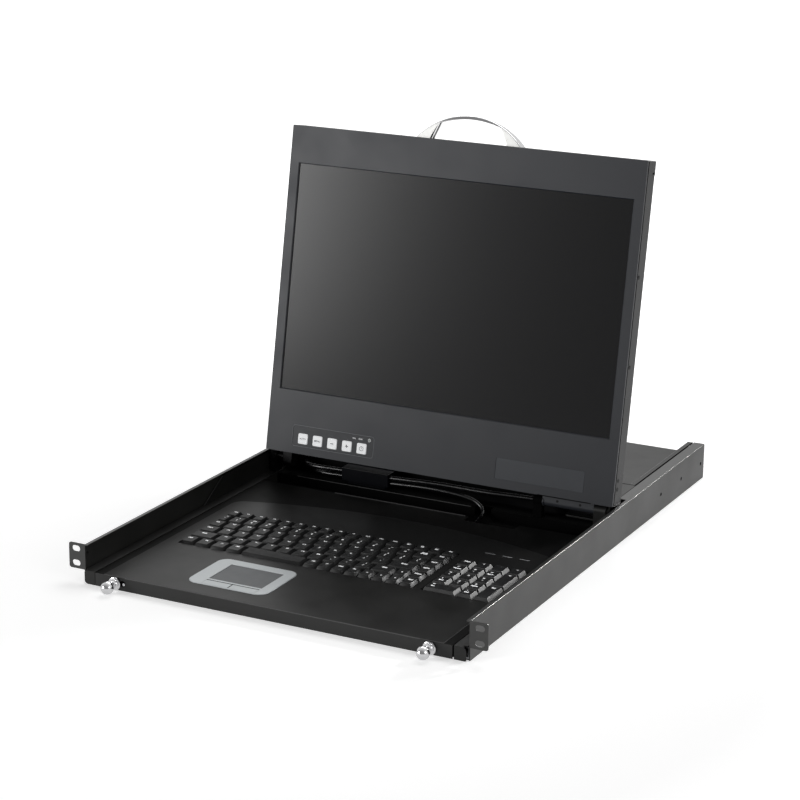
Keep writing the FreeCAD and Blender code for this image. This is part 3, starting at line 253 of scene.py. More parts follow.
def printedInk(name, tone, roughness=0.55, glow=0.0):
    tree, shader = startFinish(name, tone, roughness, glow=glow)
    varyTone(tree, noiseOn(tree, objectPlace(tree), size=0.3, rough=0.7), shader, tone, dark=0.8)


def circuitBoard(name, mask, copper):
    tree, shader = startFinish(name, mask, 0.35)
    tracks = addNode(tree, "ShaderNodeTexBrick", Scale=90, Color1=(*mask, 1), Mortar=(*copper, 1),
                     Color2=(*(c * 0.75 for c in mask), 1))
    tracks.inputs["Mortar Size"].default_value = 0.012
    join(tree, objectPlace(tree), "Vector", tracks, "Vector")
    join(tree, tracks, "Color", shader, "Base Color")
    roughen(tree, tracks, shader, height=0.03, strength=0.4)


# painted sheet metal: tone, roughness, specular, grain and bump height in mm
powderCoat("wallBlack", (0.0185, 0.0185, 0.0172), 0.36, 0.8)
powderCoat("deckBlack", (0.0074, 0.0074, 0.0069), 0.36, 0.25)
# painted light: the deck's front skirt, lighter than the deck's top
powderCoat("skirtPaintedLight", (0.0115, 0.0115, 0.011), 0.38, 0.5)
# painted shade for the deck's low rear region
powderCoat("deckPaintedShade", (0.0058, 0.0058, 0.0056), 0.4, 0.06)
powderCoat("boxBlack", (0.0085, 0.0085, 0.008), 0.45, 0.4)
powderCoat("hingeBlack", (0.0022, 0.0022, 0.0026), 0.4, 0.14)
powderCoat("clipBlack", (0.0026, 0.003, 0.0045), 0.42, 0.12)
powderCoat("screenBlack", (0.0135, 0.0155, 0.021), 0.44, 0.5, 0.5, 0.015)
powderCoat("shellBlack", (0.008, 0.008, 0.0085), 0.26, 0.3, 0.5, 0.008)
powderCoat("knuckleGrey", (0.034, 0.037, 0.044), 0.44, 0.45, 0.5, 0.015)
# painted highlight for the sides of the screen's bezel
powderCoat("bezelSidePaintedLight", (0.05, 0.052, 0.058), 0.4, 0.5, 0.5, 0.01)
# painted highlights for edges and hems
powderCoat("edgePaintedHighlight", (0.045, 0.045, 0.045), 0.3, 0.8, 0.4, 0.006)
powderCoat("hemPaintedHighlight", (0.075, 0.075, 0.075), 0.45, 0.5, 0.4, 0.006)
powderCoat("blackOxide", (0.003, 0.003, 0.0032), 0.45, 0.2, 0.3, 0.01)

# plastics
mouldedPlastic("keyPlastic", (0.0135, 0.0135, 0.0137), 0.42, 0.28)
mouldedPlastic("spacePlastic", (0.025, 0.025, 0.0252), 0.45, 0.12)
mouldedPlastic("padPlastic", (0.009, 0.009, 0.0093), 0.34, 0.5)
# painted highlight for the right slopes of the keypad's caps
mouldedPlastic("padSidePaintedHighlight", (0.36, 0.36, 0.355), 0.4, 0.4)
mouldedPlastic("basePlastic", (0.004, 0.004, 0.0045), 0.5, 0.35)
# painted shade: a near-black finish laid in gaps and on faces that would lie in shade
mouldedPlastic("paintedShade", (0.0015, 0.0015, 0.0015), 0.8, 0.05)
mouldedPlastic("labelFilm", (0.042, 0.046, 0.054), 0.42, 0.45, 0.3, 0.006)
mouldedPlastic("plateDark", (0.0135, 0.0155, 0.020), 0.4, 0.45, 0.3, 0.006)
mouldedPlastic("plateRim", (0.13, 0.14, 0.15), 0.36, 0.5, 0.3, 0.006)
mouldedPlastic("padSkin", (0.125, 0.132, 0.138), 0.5, 0.4, 0.35, 0.01)
rubberSheath("cableSheath", (0.003, 0.003, 0.0035), 0.26)

# bare metal, chrome and silver paint; the fold finish is a painted highlight, and the handle's silver carries
# painted glow and a painted reflection
# painted highlight for folded edges
brushedSteel("foldPaintedHighlight", (0.30, 0.30, 0.295), 0.36)
brushedSteel("zincSteel", (0.55, 0.56, 0.58), 0.34)
brushedSteel("moduleDark", (0.30, 0.31, 0.32), 0.4)
brushedSteel("connectorShell", (0.62, 0.62, 0.63), 0.28)
chromePlate("brightChrome", (0.78, 0.78, 0.79), 0.07)
silverWithPaintedLight("silverFrontPaintedGlow", (0.88, 0.88, 0.86), 0.3, 0.34)
silverWithPaintedLight("silverInnerPaintedReflection", (0.8, 0.8, 0.8), 0.2, 0.6, True)
flakePaint("bezelPaint", (0.57, 0.60, 0.61), 0.42)

# glass, ink and boards
mattGlass("screenGlass", (0.0035, 0.0035, 0.0042), 0.22, 0.36)
mattGlass("lampLens", (0.35, 0.40, 0.36), 0.12, 0.6)
# the white of the buttons and of the printing glows as painted light
printedInk("buttonWhitePaintedGlow", (0.95, 0.96, 0.97), 0.4, 0.3)
printedInk("keyInkPaintedGlow", (0.95, 0.96, 0.97), 0.55, 0.32)
printedInk("greyInk", (0.10, 0.10, 0.11))
printedInk("markInk", (0.40, 0.41, 0.42))
circuitBoard("boardGreen", (0.02, 0.11, 0.045), (0.10, 0.20, 0.08))

dressed = {
    "wallBlack": ["chassis_pan", "chassis_side_left", "chassis_side_right"],
    "boxBlack": ["tray_rail_left", "tray_rail_right", "tray_pan", "hinge_cover", "electronics_cover",
                 "rear_panel", "hinge_bracket_right"],
    "deckBlack": ["keyboard_deck"],
    "screenBlack": ["lcd_front_bezel"],
    "knuckleGrey": ["hinge_knuckle_right"],
    "shellBlack": ["lcd_rear_shell", "corner_catches"],
    "hingeBlack": ["hinge_bracket_left", "hinge_crossbar", "hinge_knuckle_left"],
    "zincSteel": ["slide_outer_left", "slide_outer_right", "slide_middle_left", "slide_middle_right",
                  "slide_inner_left", "slide_inner_right", "power_supply"],
    "basePlastic": ["keyboard_base"],
    "clipBlack": ["cable_clips"],
    "keyPlastic": ["function_row_keys", "number_row_keys", "tab_row_keys", "home_row_keys", "shift_row_keys",
                   "bottom_row_keys"],
    "spacePlastic": ["space_bar"],
    "padPlastic": ["keypad_keys"],
    "bezelPaint": ["touchpad_bezel", "touchpad_button_left", "touchpad_button_right"],
    "padSkin": ["touchpad_plate"],
    "brightChrome": ["knob_bushings", "pull_knob_left", "pull_knob_right", "lcd_handle"],
    "blackOxide": ["tray_screws", "lcd_screws", "chassis_rivets"],
    "cableSheath": ["screen_cable", "keyboard_cable"],
    "boardGreen": ["main_board", "lcd_driver_boards"],
    "connectorShell": ["rear_connectors"],
    "screenGlass": ["lcd_glass"],
    "moduleDark": ["lcd_module"],
    "plateDark": ["osd_plate"],
    "buttonWhitePaintedGlow": ["screen_button_auto", "screen_button_menu", "screen_button_minus", "screen_button_plus",
                    "screen_button_power"],
    "lampLens": ["power_lamp"],
}
finishOf = {node: finish for finish, members in dressed.items() for node in members}
for nodeName, finishName in finishOf.items():
    for place in nodes[nodeName].material_slots:
        place.material = finishes[finishName]
tell("finishes on the packed model")


def bring(name, data):
    thing = bpy.data.objects.new(name, data)
    bpy.context.scene.collection.objects.link(thing)
    return thing


def pieceFrom(bm, name, finishNames, body, replaced=(), smoothBelow=None):
    mesh = bpy.data.meshes.new(name)
    bm.to_mesh(mesh)
    bm.free()
    for finishName in finishNames:
        mesh.materials.append(finishes[finishName])
    if smoothBelow is not None:
        mesh.shade_smooth()
        mesh.set_sharp_from_angle(angle=math.radians(smoothBelow))
    piece = bring(name, mesh)
    if replaced:
        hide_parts(*replaced)
    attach(piece, body)
    return piece


def block(bm, low, high):
    # box between two points in metres; gives back its faces
    middle = (Vector(low) + Vector(high)) / 2
    size = Vector(high) - Vector(low)
    made = bmesh.ops.create_cube(bm, size=1, matrix=Matrix.Translation(middle) @ Matrix.Diagonal((*size, 1)))
    return {f for v in made["verts"] for f in v.link_faces}


def onScreen(bm, x0, x1, up0, up1, behind0, behind1):
    # box in the screen's own frame
    faces = block(bm, Vector((x0, up0, -behind1)) * mm, Vector((x1, up1, -behind0)) * mm)
    verts = list({v for f in faces for v in f.verts})
    bmesh.ops.transform(bm, matrix=Matrix.Translation(screenAt(0, 0, 0)) @ faceTurn, verts=verts)


def soften(bm, edges, width, segments=2):
    made = bmesh.ops.bevel(bm, geom=list(edges), offset=width * mm, offset_type="OFFSET", segments=segments,
                           profile=0.5, affect="EDGES", clamp_overlap=True, material=-1)
    return set(made["faces"])


def closeAll(bm, within=0.001):
    # seams are merged before the faces are turned outwards
    bmesh.ops.remove_doubles(bm, verts=bm.verts, dist=within * mm)
    bmesh.ops.recalc_face_normals(bm, faces=bm.faces)


def mirroredSpan(side, inner, outer):
    return sorted((side * inner, side * outer))


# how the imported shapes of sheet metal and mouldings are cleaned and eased, in mm and degrees
easing = {"weld": 0.02, "flat": 0.5, "sharp": 35, "narrow": 0.6, "rearward": 0.5}

# painted highlights on folded edges and hems, and how far their faces turn up
edgeHighlights = {
    "foldPaintedHighlight": {"rise": (0.6, 0.82), "nodes": ["chassis_side_left", "chassis_side_right", "tray_pan"]},
    "hemPaintedHighlight": {"rise": (0.45, 0.92), "nodes": ["keyboard_deck"]},
    "edgePaintedHighlight": {"rise": (0.45, 0.92),
                  "nodes": ["tray_rail_left", "tray_rail_right", "hinge_crossbar", "hinge_bracket_right",
                            "cable_clips", "osd_plate", "corner_catches"]},
}

# faces that get another finish: mostly painted shade where they lie in a narrow gap or look away from
# the light, and painted highlights, glow and reflections on others; c is a face's middle in mm from the
# frame's zero, n its normal, and these are the places that part them
edgeOf = {"wallLip": 12.5, "barrelGap": (9.4, 11.2), "clamp": 110, "legFoot": 38, "leg": (30, 60),
          "legTop": 410, "archTop": 409, "pocket": 206.8, "trayFloor": -20, "coverStep": 460,
          "field": (-13.2, -12.8), "skirt": -4, "bezelSide": 217}


def inPocket(c, n):
    return abs(c.x) > edgeOf["pocket"] and abs(n.x) > 0.7


def onLegInside(c, n):
    low, high = edgeOf["leg"]
    return n.x < -0.3 and n.y < -0.15 and low < c.x < high and c.z < edgeOf["legTop"]


def underBarrel(c, n):
    low, high = edgeOf["barrelGap"]
    return low < c.z < high and n.y < -0.2


def onField(c, n):
    low, high = edgeOf["field"]
    return n.z > 0.99 and low < c.z < high


painted = {
    "chassis_side_left": [("wallBlack", lambda c, n: c.z < edgeOf["wallLip"])],
    "chassis_side_right": [("wallBlack", lambda c, n: c.z < edgeOf["wallLip"])],
    # painted shade in the gap between the screen and the barrel
    "hinge_knuckle_right": [("paintedShade", underBarrel)],
    # painted shade on the clamp
    "cable_clips": [("paintedShade", lambda c, n: c.x > edgeOf["clamp"])],
    # painted light on the handle: a glowing painted highlight on the fronts of the legs, painted shade along
    # the right leg's inner edge, and a painted reflection on the left leg's inner faces
    "lcd_handle": [("silverFrontPaintedGlow", lambda c, n: n.y < -0.85 and abs(c.x) > edgeOf["legFoot"]),
                   ("knuckleGrey", onLegInside),
                   ("silverInnerPaintedReflection", lambda c, n: n.x > 0.3 and c.x < 0 and c.z < edgeOf["archTop"])],
    # painted shade in the pockets beside the lips, on the tray's floor and on the cover's front edge
    "tray_pan": [("paintedShade", inPocket),
                 ("paintedShade", lambda c, n: n.z > 0.9 and c.z < edgeOf["trayFloor"])],
    "electronics_cover": [("paintedShade", inPocket),
                          ("paintedShade", lambda c, n: c.y < edgeOf["coverStep"] and n.y < -0.7)],
    # painted shade on the deck's low rear region, and painted light on its front skirt
    "keyboard_deck": [("deckPaintedShade", onField),
                      ("skirtPaintedLight", lambda c, n: c.y < edgeOf["skirt"] and n.y < -0.7)],
    # painted shade on the crossbar's front and top
    "hinge_crossbar": [("paintedShade", lambda c, n: n.y < -0.5 or n.z > 0.9)],
    # painted shade on the hinge cover's front wall
    "hinge_cover": [("hingeBlack", lambda c, n: n.y < -0.9)],
    # painted highlight on the left rail's front sloping edge
    "tray_rail_left": [("hemPaintedHighlight", lambda c, n: n.y < -0.5 and n.z > 0.2)],
    # painted highlight on the bezel's sides
    "lcd_front_bezel": [("bezelSidePaintedLight", lambda c, n: abs(c.x) > edgeOf["bezelSide"] and abs(n.x) > 0.6)],
}


def paintEdgeHighlights(bm, nodeName, bevelled, materials):
    for finishName, wearAndSheen in edgeHighlights.items():
        if nodeName not in wearAndSheen["nodes"]:
            continue
        bm.normal_update()
        low, high = wearAndSheen["rise"]
        for f in bm.faces:
            narrow = 2 * f.calc_area() / f.calc_perimeter() < easing["narrow"] * mm
            if (f in bevelled or narrow) and low < f.normal.z < high and f.normal.y < easing["rearward"]:
                f.material_index = len(materials)
        materials.append(finishName)


def paintFaces(bm, nodeName, materials):
    for finishName, chosen in painted.get(nodeName, ()):
        bm.normal_update()
        for f in bm.faces:
            if chosen(f.calc_center_median() / mm, f.normal):
                f.material_index = len(materials)
        materials.append(finishName)


def easedCopy(nodeName, width, segments=2, smoothBelow=16, name=None, change=None):
    e = easing
    node = nodes[nodeName]
    bm = bmesh.new()
    bm.from_mesh(node.data)
    bmesh.ops.remove_doubles(bm, verts=bm.verts, dist=e["weld"] * mm)
    bmesh.ops.dissolve_limit(bm, angle_limit=math.radians(e["flat"]), verts=bm.verts, edges=bm.edges,
                             delimit={"NORMAL"})
    if change:
        change(bm)
    limit = math.radians(e["sharp"])
    sharp = [g for g in bm.edges if len(g.link_faces) == 2 and g.calc_face_angle(0) > limit]
    bevelled = soften(bm, sharp, width, segments)
    materials = [finishOf[nodeName]]
    paintEdgeHighlights(bm, nodeName, bevelled, materials)
    paintFaces(bm, nodeName, materials)
    piece = pieceFrom(bm, name or nodeName + "Eased", materials, node["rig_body"],
                      (nodeName,), smoothBelow)
    even = piece.modifiers.new("evenFaces", "WEIGHTED_NORMAL")
    even.weight = 100
    even.keep_sharp = True


# keycaps, in mm; the keypad's have sharper edges and a pitch of their own
keyboard = {"left": -179.5, "front": 114.0, "pitch": 19.1, "gap": 1.3, "low": 13.1, "top": 17.8,
            "even": 18.9, "taperSide": 2.4, "taperBack": 0.7, "taperFront": 1.7, "dish": 0.25,
            "dishRim": 0.5, "dishSlope": 2.0, "edge": 0.28, "smooth": 24,
            "padLeft": 111.9, "padPitch": 19.05, "padEdge": 0.1, "padSmooth": 8}


def alike(marks, width=keyboard["even"]):
    return [(mark, width) for mark in marks.split()]


# each row: its place counted from the front, its depth, and what is printed on the keys with their widths
keyRows = {
    "function": (5, 16.6, [("Esc", 15.2)]
                 + alike("F1 F2 F3 F4 F5 F6 F7 F8 F9 F10 F11 F12 Prt|Sc Scr|Lk Pau|se Ins", 16.6)),
    "number": (4, 19.1, [("`~", 12.6)] + alike("1! 2@ 3# 4$ 5% 6^ 7& 8* 9( 0) -_ =+")
               + [("Back|space", 21.9), ("Del", 19.4)]),
    "tab": (3, 19.1, [("Tab", 17.4)] + alike("Q W E R T Y U I O P [{ ]} \\|") + [("PgUp", 17.6)]),
    "home": (2, 19.1, [("Caps", 21.3)] + alike("A S D F G H J K L ;: '\"")
             + [("Enter", 34.0), ("PgDn", 17.5)]),
    "shift": (1, 19.1, [("Shift", 30.2)] + alike("Z X C V B N M ,< .> /?")
              + [("Shift", 27.0), ("up", 17.0), ("Home", 17.5)]),
    "bottom": (0, 19.1, [("Ctrl", 18.1)] + alike("Fn menu Alt", 19.2) + [(None, 74.6)]
               + alike("Alt menu Ctrl Fn left down right End", 16.3)),
}
fullRows = ("function", "number", "tab", "home", "shift")
padRows = (("1", "2", "3"), ("4", "5", "6"), ("7", "8", "9"), ("Num", "/", "*"))


def keyOutlines(rowName):
    k = keyboard
    step, depth, keys = keyRows[rowName]
    left = k["left"]
    front = k["front"] + step * k["pitch"]
    outlines = []
    for mark, width in keys:
        outlines.append((mark, left, left + width, front, front + depth))
        left += width
    return outlines


def padOutlines():
    k = keyboard
    outlines = []

    def key(mark, column, row, wide=1, tall=1):
        x = k["padLeft"] + column * k["padPitch"]
        y = k["front"] + row * k["pitch"]
        outlines.append((mark, x, x + wide * k["padPitch"], y, y + tall * k["pitch"]))

    for row, marks in enumerate(padRows, 1):
        for column, mark in enumerate(marks):
            key(mark, column, row)
    key("-", 3, 4)
    key("Ent", 3, 0, tall=2)
    key("+", 3, 2, tall=2)
    key("0", 0, 0, wide=2)
    key(".", 2, 0)
    return outlines


def addKeyCap(bm, outline, edge):
    k = keyboard
    half = k["gap"] / 2
    mark, x0, x1, y0, y1 = outline
    faces = block(bm, at(x0 + half, y0 + half, k["low"]), at(x1 - half, y1 - half, k["top"]))
    bm.normal_update()
    top = max(faces, key=lambda f: f.normal.z)
    middle = at((x0 + x1) / 2, (y0 + y1) / 2, 0)
    for v in top.verts:
        v.co.x += k["taperSide"] * mm * (1 if v.co.x < middle.x else -1)
        v.co.y += k["taperFront"] * mm if v.co.y < middle.y else -k["taperBack"] * mm
    rim = list(top.edges)
    slopes = [e for v in top.verts for e in v.link_edges if e not in rim]
    soften(bm, rim + slopes, edge)
    bm.normal_update()
    top = max((f for f in bm.faces if f.normal.z > 0.99), key=lambda f: f.calc_area())
    bmesh.ops.inset_region(bm, faces=[top], thickness=k["dishRim"] * mm, depth=0)
    bmesh.ops.inset_region(bm, faces=[top], thickness=k["dishSlope"] * mm, depth=-k["dish"] * mm)


def addKeys(name, outlines, body, node, edge=keyboard["edge"], smoothBelow=keyboard["smooth"]):
    bm = bmesh.new()
    for outline in outlines:
        one = bmesh.new()
        addKeyCap(one, outline, edge)
        mesh = bpy.data.meshes.new("cap")
        one.to_mesh(mesh)
        one.free()
        bm.from_mesh(mesh)
        bpy.data.meshes.remove(mesh)
    materials = [finishOf[node]]
    if node == "keypad_keys":
        # the right slopes of the keypad's caps get a painted highlight
        materials.append("padSidePaintedHighlight")
        bm.normal_update()
        for f in bm.faces:
            f.material_index = 1 if f.normal.x > 0.8 and abs(f.normal.y) < 0.1 else 0
    pieceFrom(bm, name, materials, body, (node,), smoothBelow)


for rowName in fullRows:
    addKeys(rowName + "RowCaps", keyOutlines(rowName), rowName + "_row", rowName + "_row_keys")
bottomKeys = keyOutlines("bottom")
addKeys("bottomRowCaps", [o for o in bottomKeys if o[0]], "bottom_row", "bottom_row_keys")
addKeys("spaceBarCap", [o for o in bottomKeys if not o[0]], "space_bar", "space_bar")
addKeys("keypadCaps", padOutlines(), "keypad", "keypad_keys", keyboard["padEdge"], keyboard["padSmooth"])
tell("keycaps")

# printing on the keys: marks are laid flat on the caps
legends = {"letter": 3.8, "word": 2.4, "small": 3.0, "thick": 0.04, "bold": 0.25, "lift": 0.02, "back": 3.7,
           "wordBack": 5.6, "shallow": 17, "step": 6.0, "apart": 0.5, "aside": 2.2, "padMiddle": 8.0,
           "padWord": 0.8, "arrow": (3.4, 2.4), "padArrow": (2.6, 1.6), "arrowBack": 1, "barPitch": 1.2,
           "barHalf": (1.4, 0.2, 0.02), "fontScale": 1.4, "lineSpace": 0.75, "roundness": 2}
arrows = {"up": 90, "down": -90, "left": 180, "right": 0}
padWords = {"7": "Home", "8": "up", "9": "PgUp", "4": "left", "6": "right", "1": "End", "2": "down",
            "3": "PgDn", "0": "Ins", ".": "Del"}


def thicken(bm, faces):
    # flat ink becomes a thin closed plate
    raised = bmesh.ops.extrude_face_region(bm, geom=faces, use_keep_orig=True)["geom"]
    tops = [g for g in raised if isinstance(g, bmesh.types.BMVert)]
    bmesh.ops.translate(bm, vec=(0, 0, legends["thick"] * mm), verts=tops)


def addMark(bm, text, size, middle, turn=Matrix.Identity(4), bold=legends["bold"]):
    # middle is in metres on the surface, turn the matrix that lays the text in place
    curve = bpy.data.curves.new("mark", "FONT")
    curve.body = text
    curve.size = size * mm * legends["fontScale"]
    curve.align_x = "CENTER"
    curve.align_y = "CENTER"
    curve.space_line = legends["lineSpace"]
    curve.offset = bold * mm
    curve.resolution_u = legends["roundness"]
    holder = bring("mark", curve)
    graph = bpy.context.evaluated_depsgraph_get()
    mesh = bpy.data.meshes.new_from_object(holder.evaluated_get(graph))
    mesh.shade_flat()
    ink = bmesh.new()
    ink.from_mesh(mesh)
    bmesh.ops.translate(ink, vec=(0, 0, -legends["thick"] * mm / 2), verts=ink.verts)
    thicken(ink, ink.faces[:])
    ink.transform(Matrix.Translation(middle) @ turn)
    ink.to_mesh(mesh)
    ink.free()
    bm.from_mesh(mesh)
    bpy.data.meshes.remove(mesh)
    bpy.data.objects.remove(holder)
    bpy.data.curves.remove(curve)


def addArrow(bm, middle, angle, size=legends["arrow"]):
    length, width = size
    made = bmesh.ops.create_circle(bm, cap_ends=True, radius=1, segments=3)
    ahead = Matrix.Rotation(math.radians(-90), 4, "Z")
    shape = Matrix.Diagonal((length / 2 * mm, width / 2 * mm, 1, 1))
    turn = Matrix.Rotation(math.radians(angle), 4, "Z")
    bmesh.ops.transform(bm, matrix=Matrix.Translation(middle) @ turn @ shape @ ahead, verts=made["verts"])
    thicken(bm, made["verts"][0].link_faces[:])


def addMenuSign(bm, middle):
    half = Vector(legends["barHalf"]) * mm
    for line in range(3):
        spot = middle - Vector((0, 1 + line * legends["barPitch"], 0)) * mm
        block(bm, spot - half, spot + half)


def addPadMark(bm, mark, left, back, level):
    # a digit with its second use below it
    l = legends
    across = left + l["padMiddle"]
    addMark(bm, mark, l["letter"], at(across, back, level))
    word = padWords[mark]
    under = at(across + l["padWord"], back - l["step"], level)
    if word in arrows:
        addArrow(bm, under, arrows[word], l["padArrow"])
    else:
        addMark(bm, word, l["word"], under)


def isPair(mark):
    return len(mark) == 2 and mark[0] != "F" and not mark.isalpha()


def addLegend(bm, outline, level, onPad):
    l = legends
    mark, x0, x1, y0, y1 = outline
    across = (x0 + x1) / 2
    back = y1 - l["back"]
    word = mark.replace("|", "\n")
    if mark in arrows:
        addArrow(bm, at(across, (y0 + y1) / 2 + l["arrowBack"], level), arrows[mark])
    elif mark == "menu":
        addMenuSign(bm, at(across, back, level))
    elif onPad and mark in padWords:
        addPadMark(bm, mark, x0, back, level)
    elif isPair(mark):
        addMark(bm, mark[0], l["small"], at(across - l["apart"], back - l["step"], level))
        addMark(bm, mark[1], l["small"], at(across + l["apart"], back, level))
    elif len(mark) == 1:
        addMark(bm, mark, l["letter"], at(across, back, level))
    elif y1 - y0 < l["shallow"]:
        addMark(bm, word, l["word"], at(across, back, level))
    else:
        # the first key of each row carries its word to the left of the middle
        aside = l["aside"] if x0 < keyboard["left"] + 1 else 0
        addMark(bm, word, l["word"], at(across - aside, y1 - l["wordBack"], level))


def addLegends(name, outlines, body, onPad=False):
    level = keyboard["top"] - keyboard["dish"] + legends["lift"] + legends["thick"] / 2
    bm = bmesh.new()
    for outline in outlines:
        if outline[0]:
            addLegend(bm, outline, level, onPad)
    pieceFrom(bm, name, ["keyInkPaintedGlow"], body)


for rowName in (*fullRows, "bottom"):
    addLegends(rowName + "RowLegends", keyOutlines(rowName), rowName + "_row")
addLegends("keypadLegends", padOutlines(), "keypad", True)
tell("key legends")

# pull knobs, turned from an outline of places along the axis and radii
knob = {"across": 181.5, "up": 7.4, "ballBack": -19.6, "ballR": 7.0, "ballSweep": 150, "ballSteps": 24,
        "neckR": 3.2, "neck": ((-12.4, 0.15), (-11.0, 0), (-9.4, 0), (-8.3, 0.35)), "collarRoot": 1.3,
        "collarR": 7.1, "collarFront": -7.3, "collarBack": -4.7, "stemR": 2.5, "headFront": 5.3,
        "headBack": 7.3, "headR": 3.1, "edge": 0.5, "turns": 64, "smooth": 35}


def knobOutline():
    k = knob
    e = k["edge"]
    outline = []
    for i in range(k["ballSteps"] + 1):
        angle = math.radians(i * k["ballSweep"] / k["ballSteps"])
        outline.append((k["ballBack"] - k["ballR"] * math.cos(angle), k["ballR"] * math.sin(angle)))
    outline += [(place, k["neckR"] + extra) for place, extra in k["neck"]]
    # the collar with its rounded rims
    front, back, r = k["collarFront"], k["collarBack"], k["collarR"]
    outline += [(front, k["neckR"] + k["collarRoot"]), (front, r - 2 * e), (front + 0.3 * e, r - e),
                (front + e, r), (back - e, r), (back - 0.3 * e, r - 0.3 * e), (back, r - e)]
    # the stem and its head inside the panel
    outline += [(back, k["stemR"]), (k["headFront"], k["stemR"]), (k["headFront"], k["headR"]),
                (k["headBack"], k["headR"]), (k["headBack"], 0)]
    return outline


def addKnob(name, side, body, node):
    k = knob
    bm = bmesh.new()
    points = [bm.verts.new(at(side * k["across"] + r, y, k["up"])) for y, r in knobOutline()]
    edges = [bm.edges.new(pair) for pair in zip(points, points[1:])]
    axis = at(side * k["across"], 0, k["up"])
    bmesh.ops.spin(bm, geom=points + edges, cent=axis, axis=(0, 1, 0), angle=math.tau, steps=k["turns"],
                   use_merge=True)
    closeAll(bm)
    pieceFrom(bm, name, ["brightChrome"], body, (node,), k["smooth"])


addKnob("pullKnobLeft", -1, "knob_left", "pull_knob_left")
addKnob("pullKnobRight", 1, "knob_right", "pull_knob_right")
tell("pull knobs")

# sheet metal with eased edges: width of the easing in mm
easedEdges = {
    "chassis_side_left": 0.22, "chassis_side_right": 0.22, "chassis_pan": 0.3, "tray_rail_left": 0.35,
    "tray_rail_right": 0.35, "tray_pan": 0.2, "keyboard_deck": 0.16, "hinge_cover": 0.3,
    "electronics_cover": 0.3, "rear_panel": 0.3, "lcd_front_bezel": 0.4, "lcd_rear_shell": 0.5,
    "hinge_bracket_left": 0.4, "hinge_bracket_right": 0.4, "hinge_crossbar": 0.3, "hinge_knuckle_left": 0.4,
    "hinge_knuckle_right": 0.3, "cable_clips": 0.4, "touchpad_bezel": 0.3, "osd_plate": 0.1,
    "corner_catches": 0.3, "knob_bushings": 0.2,
}
seam = {"front": 2.5, "reach": 0.35, "width": 2.2, "inset": 0.7, "half": 217.5, "high": 376.7, "bar": 2.0,
        "play": 0.02}
well = {"left": -186.4, "near": 1, "front": 105.0, "back": 235.0, "move": 6.3}


def openSeam(bm):
    # the rear shell's rim stands off the bezel by a thin line, made dark by painted shade behind it
    face = screenAt(0, 0, 0)
    back = (screenAt(0, 0, 1) - face).normalized()
    for v in bm.verts:
        if abs((v.co - face).dot(back) / mm - seam["front"]) < seam["reach"]:
            v.co += back * (seam["width"] * mm)


def closeWell(bm):
    # the opening for the keys ends beside the first key of each row
    w = well
    for v in bm.verts:
        if abs(v.co.x / mm - w["left"]) < w["near"] and w["front"] < v.co.y / mm < w["back"]:
            v.co.x += w["move"] * mm


changes = {"lcd_rear_shell": openSeam, "keyboard_deck": closeWell}
for nodeName, width in easedEdges.items():
    easedCopy(nodeName, width, change=changes.get(nodeName))


def addSeamShade():
    # painted shade: a dark ring behind the seam
    m = seam
    half = m["half"] - m["inset"]
    inner = half - m["bar"]
    low, high = m["inset"], m["high"] - m["inset"]
    behind = (m["front"] + m["play"], m["front"] + m["width"] - m["play"])
    bm = bmesh.new()
    onScreen(bm, -half, -inner, low, high, *behind)
    onScreen(bm, inner, half, low, high, *behind)
    onScreen(bm, -inner, inner, high - m["bar"], high, *behind)
    onScreen(bm, -inner, inner, low, low + m["bar"], *behind)
    pieceFrom(bm, "seamShadeRing", ["paintedShade"], "screen")


addSeamShade()

# end plates that close the channels beside the rear box
channelEnd = {"inner": 204.2, "outer": 221.2, "low": 14.0, "high": 40.1, "front": 638.6, "back": 639.6}


def addChannelEnds():
    c = channelEnd
    bm = bmesh.new()
    for side in (-1, 1):
        left, right = mirroredSpan(side, c["inner"], c["outer"])
        block(bm, at(left, c["front"], c["low"]), at(right, c["back"], c["high"]))
    pieceFrom(bm, "channelEnds", ["wallBlack"], "chassis")


addChannelEnds()

# thin lines: painted shade in the gaps between sheets, painted highlights along the hems and edges beside
# them, and the bars in the lamp slots
lampBar = {"first": 123.7, "pitch": 20, "long": 11.6, "count": 3}
thinLines = {
    "gapShadeLines": ("paintedShade", [((207.0, 457.4, 41.32), (208.3, 639.4, 41.42)),
                                ((-208.3, 457.4, 41.32), (-207.0, 639.4, 41.42)),
                                ((-208.2, 456.1, 40.9), (208.2, 457.3, 41.0)),
                                ((-93.0, 31.0, 15.92), (-30.5, 31.6, 16.16)),
                                ((-62.05, 20.8, 15.92), (-61.5, 31.2, 16.16))]),
    "lampBars": ("markInk", [((lampBar["first"] + lampBar["pitch"] * i, 242.6, 14.9),
                              (lampBar["first"] + lampBar["pitch"] * i + lampBar["long"], 243.7, 15.04))
                             for i in range(lampBar["count"])]),
    "edgeHighlightLines": ("hemPaintedHighlight", [((-112.0, 340.2, 14.5), (53.0, 340.9, 15.1)),
                             ((-180.0, 373.6, 13.9), (44.0, 374.3, 14.55)),
                             ((-170.0, -4.6, 14.2), (170.0, -4.2, 14.6))]),
    "lipHighlightLines": ("edgePaintedHighlight", [((201.9, 458.0, 41.32), (202.5, 639.0, 41.4)),
                               ((-202.5, 458.0, 41.32), (-201.9, 639.0, 41.4))]),
}


def addThinLines():
    for name, (finishName, spans) in thinLines.items():
        bm = bmesh.new()
        for low, high in spans:
            block(bm, at(*low), at(*high))
        pieceFrom(bm, name, [finishName], "tray")


addThinLines()

# bare label set in the bezel
label = {"x0": 75.4, "x1": 181.6, "up0": 10.4, "up1": 33.6, "front": 0.06, "back": 0.28, "corner": 2,
         "steps": 5}


def uprights(bm, height):
    # the edges that run through a plate of this height
    return [e for e in bm.edges if abs(e.calc_length() / mm - height) < 0.01]


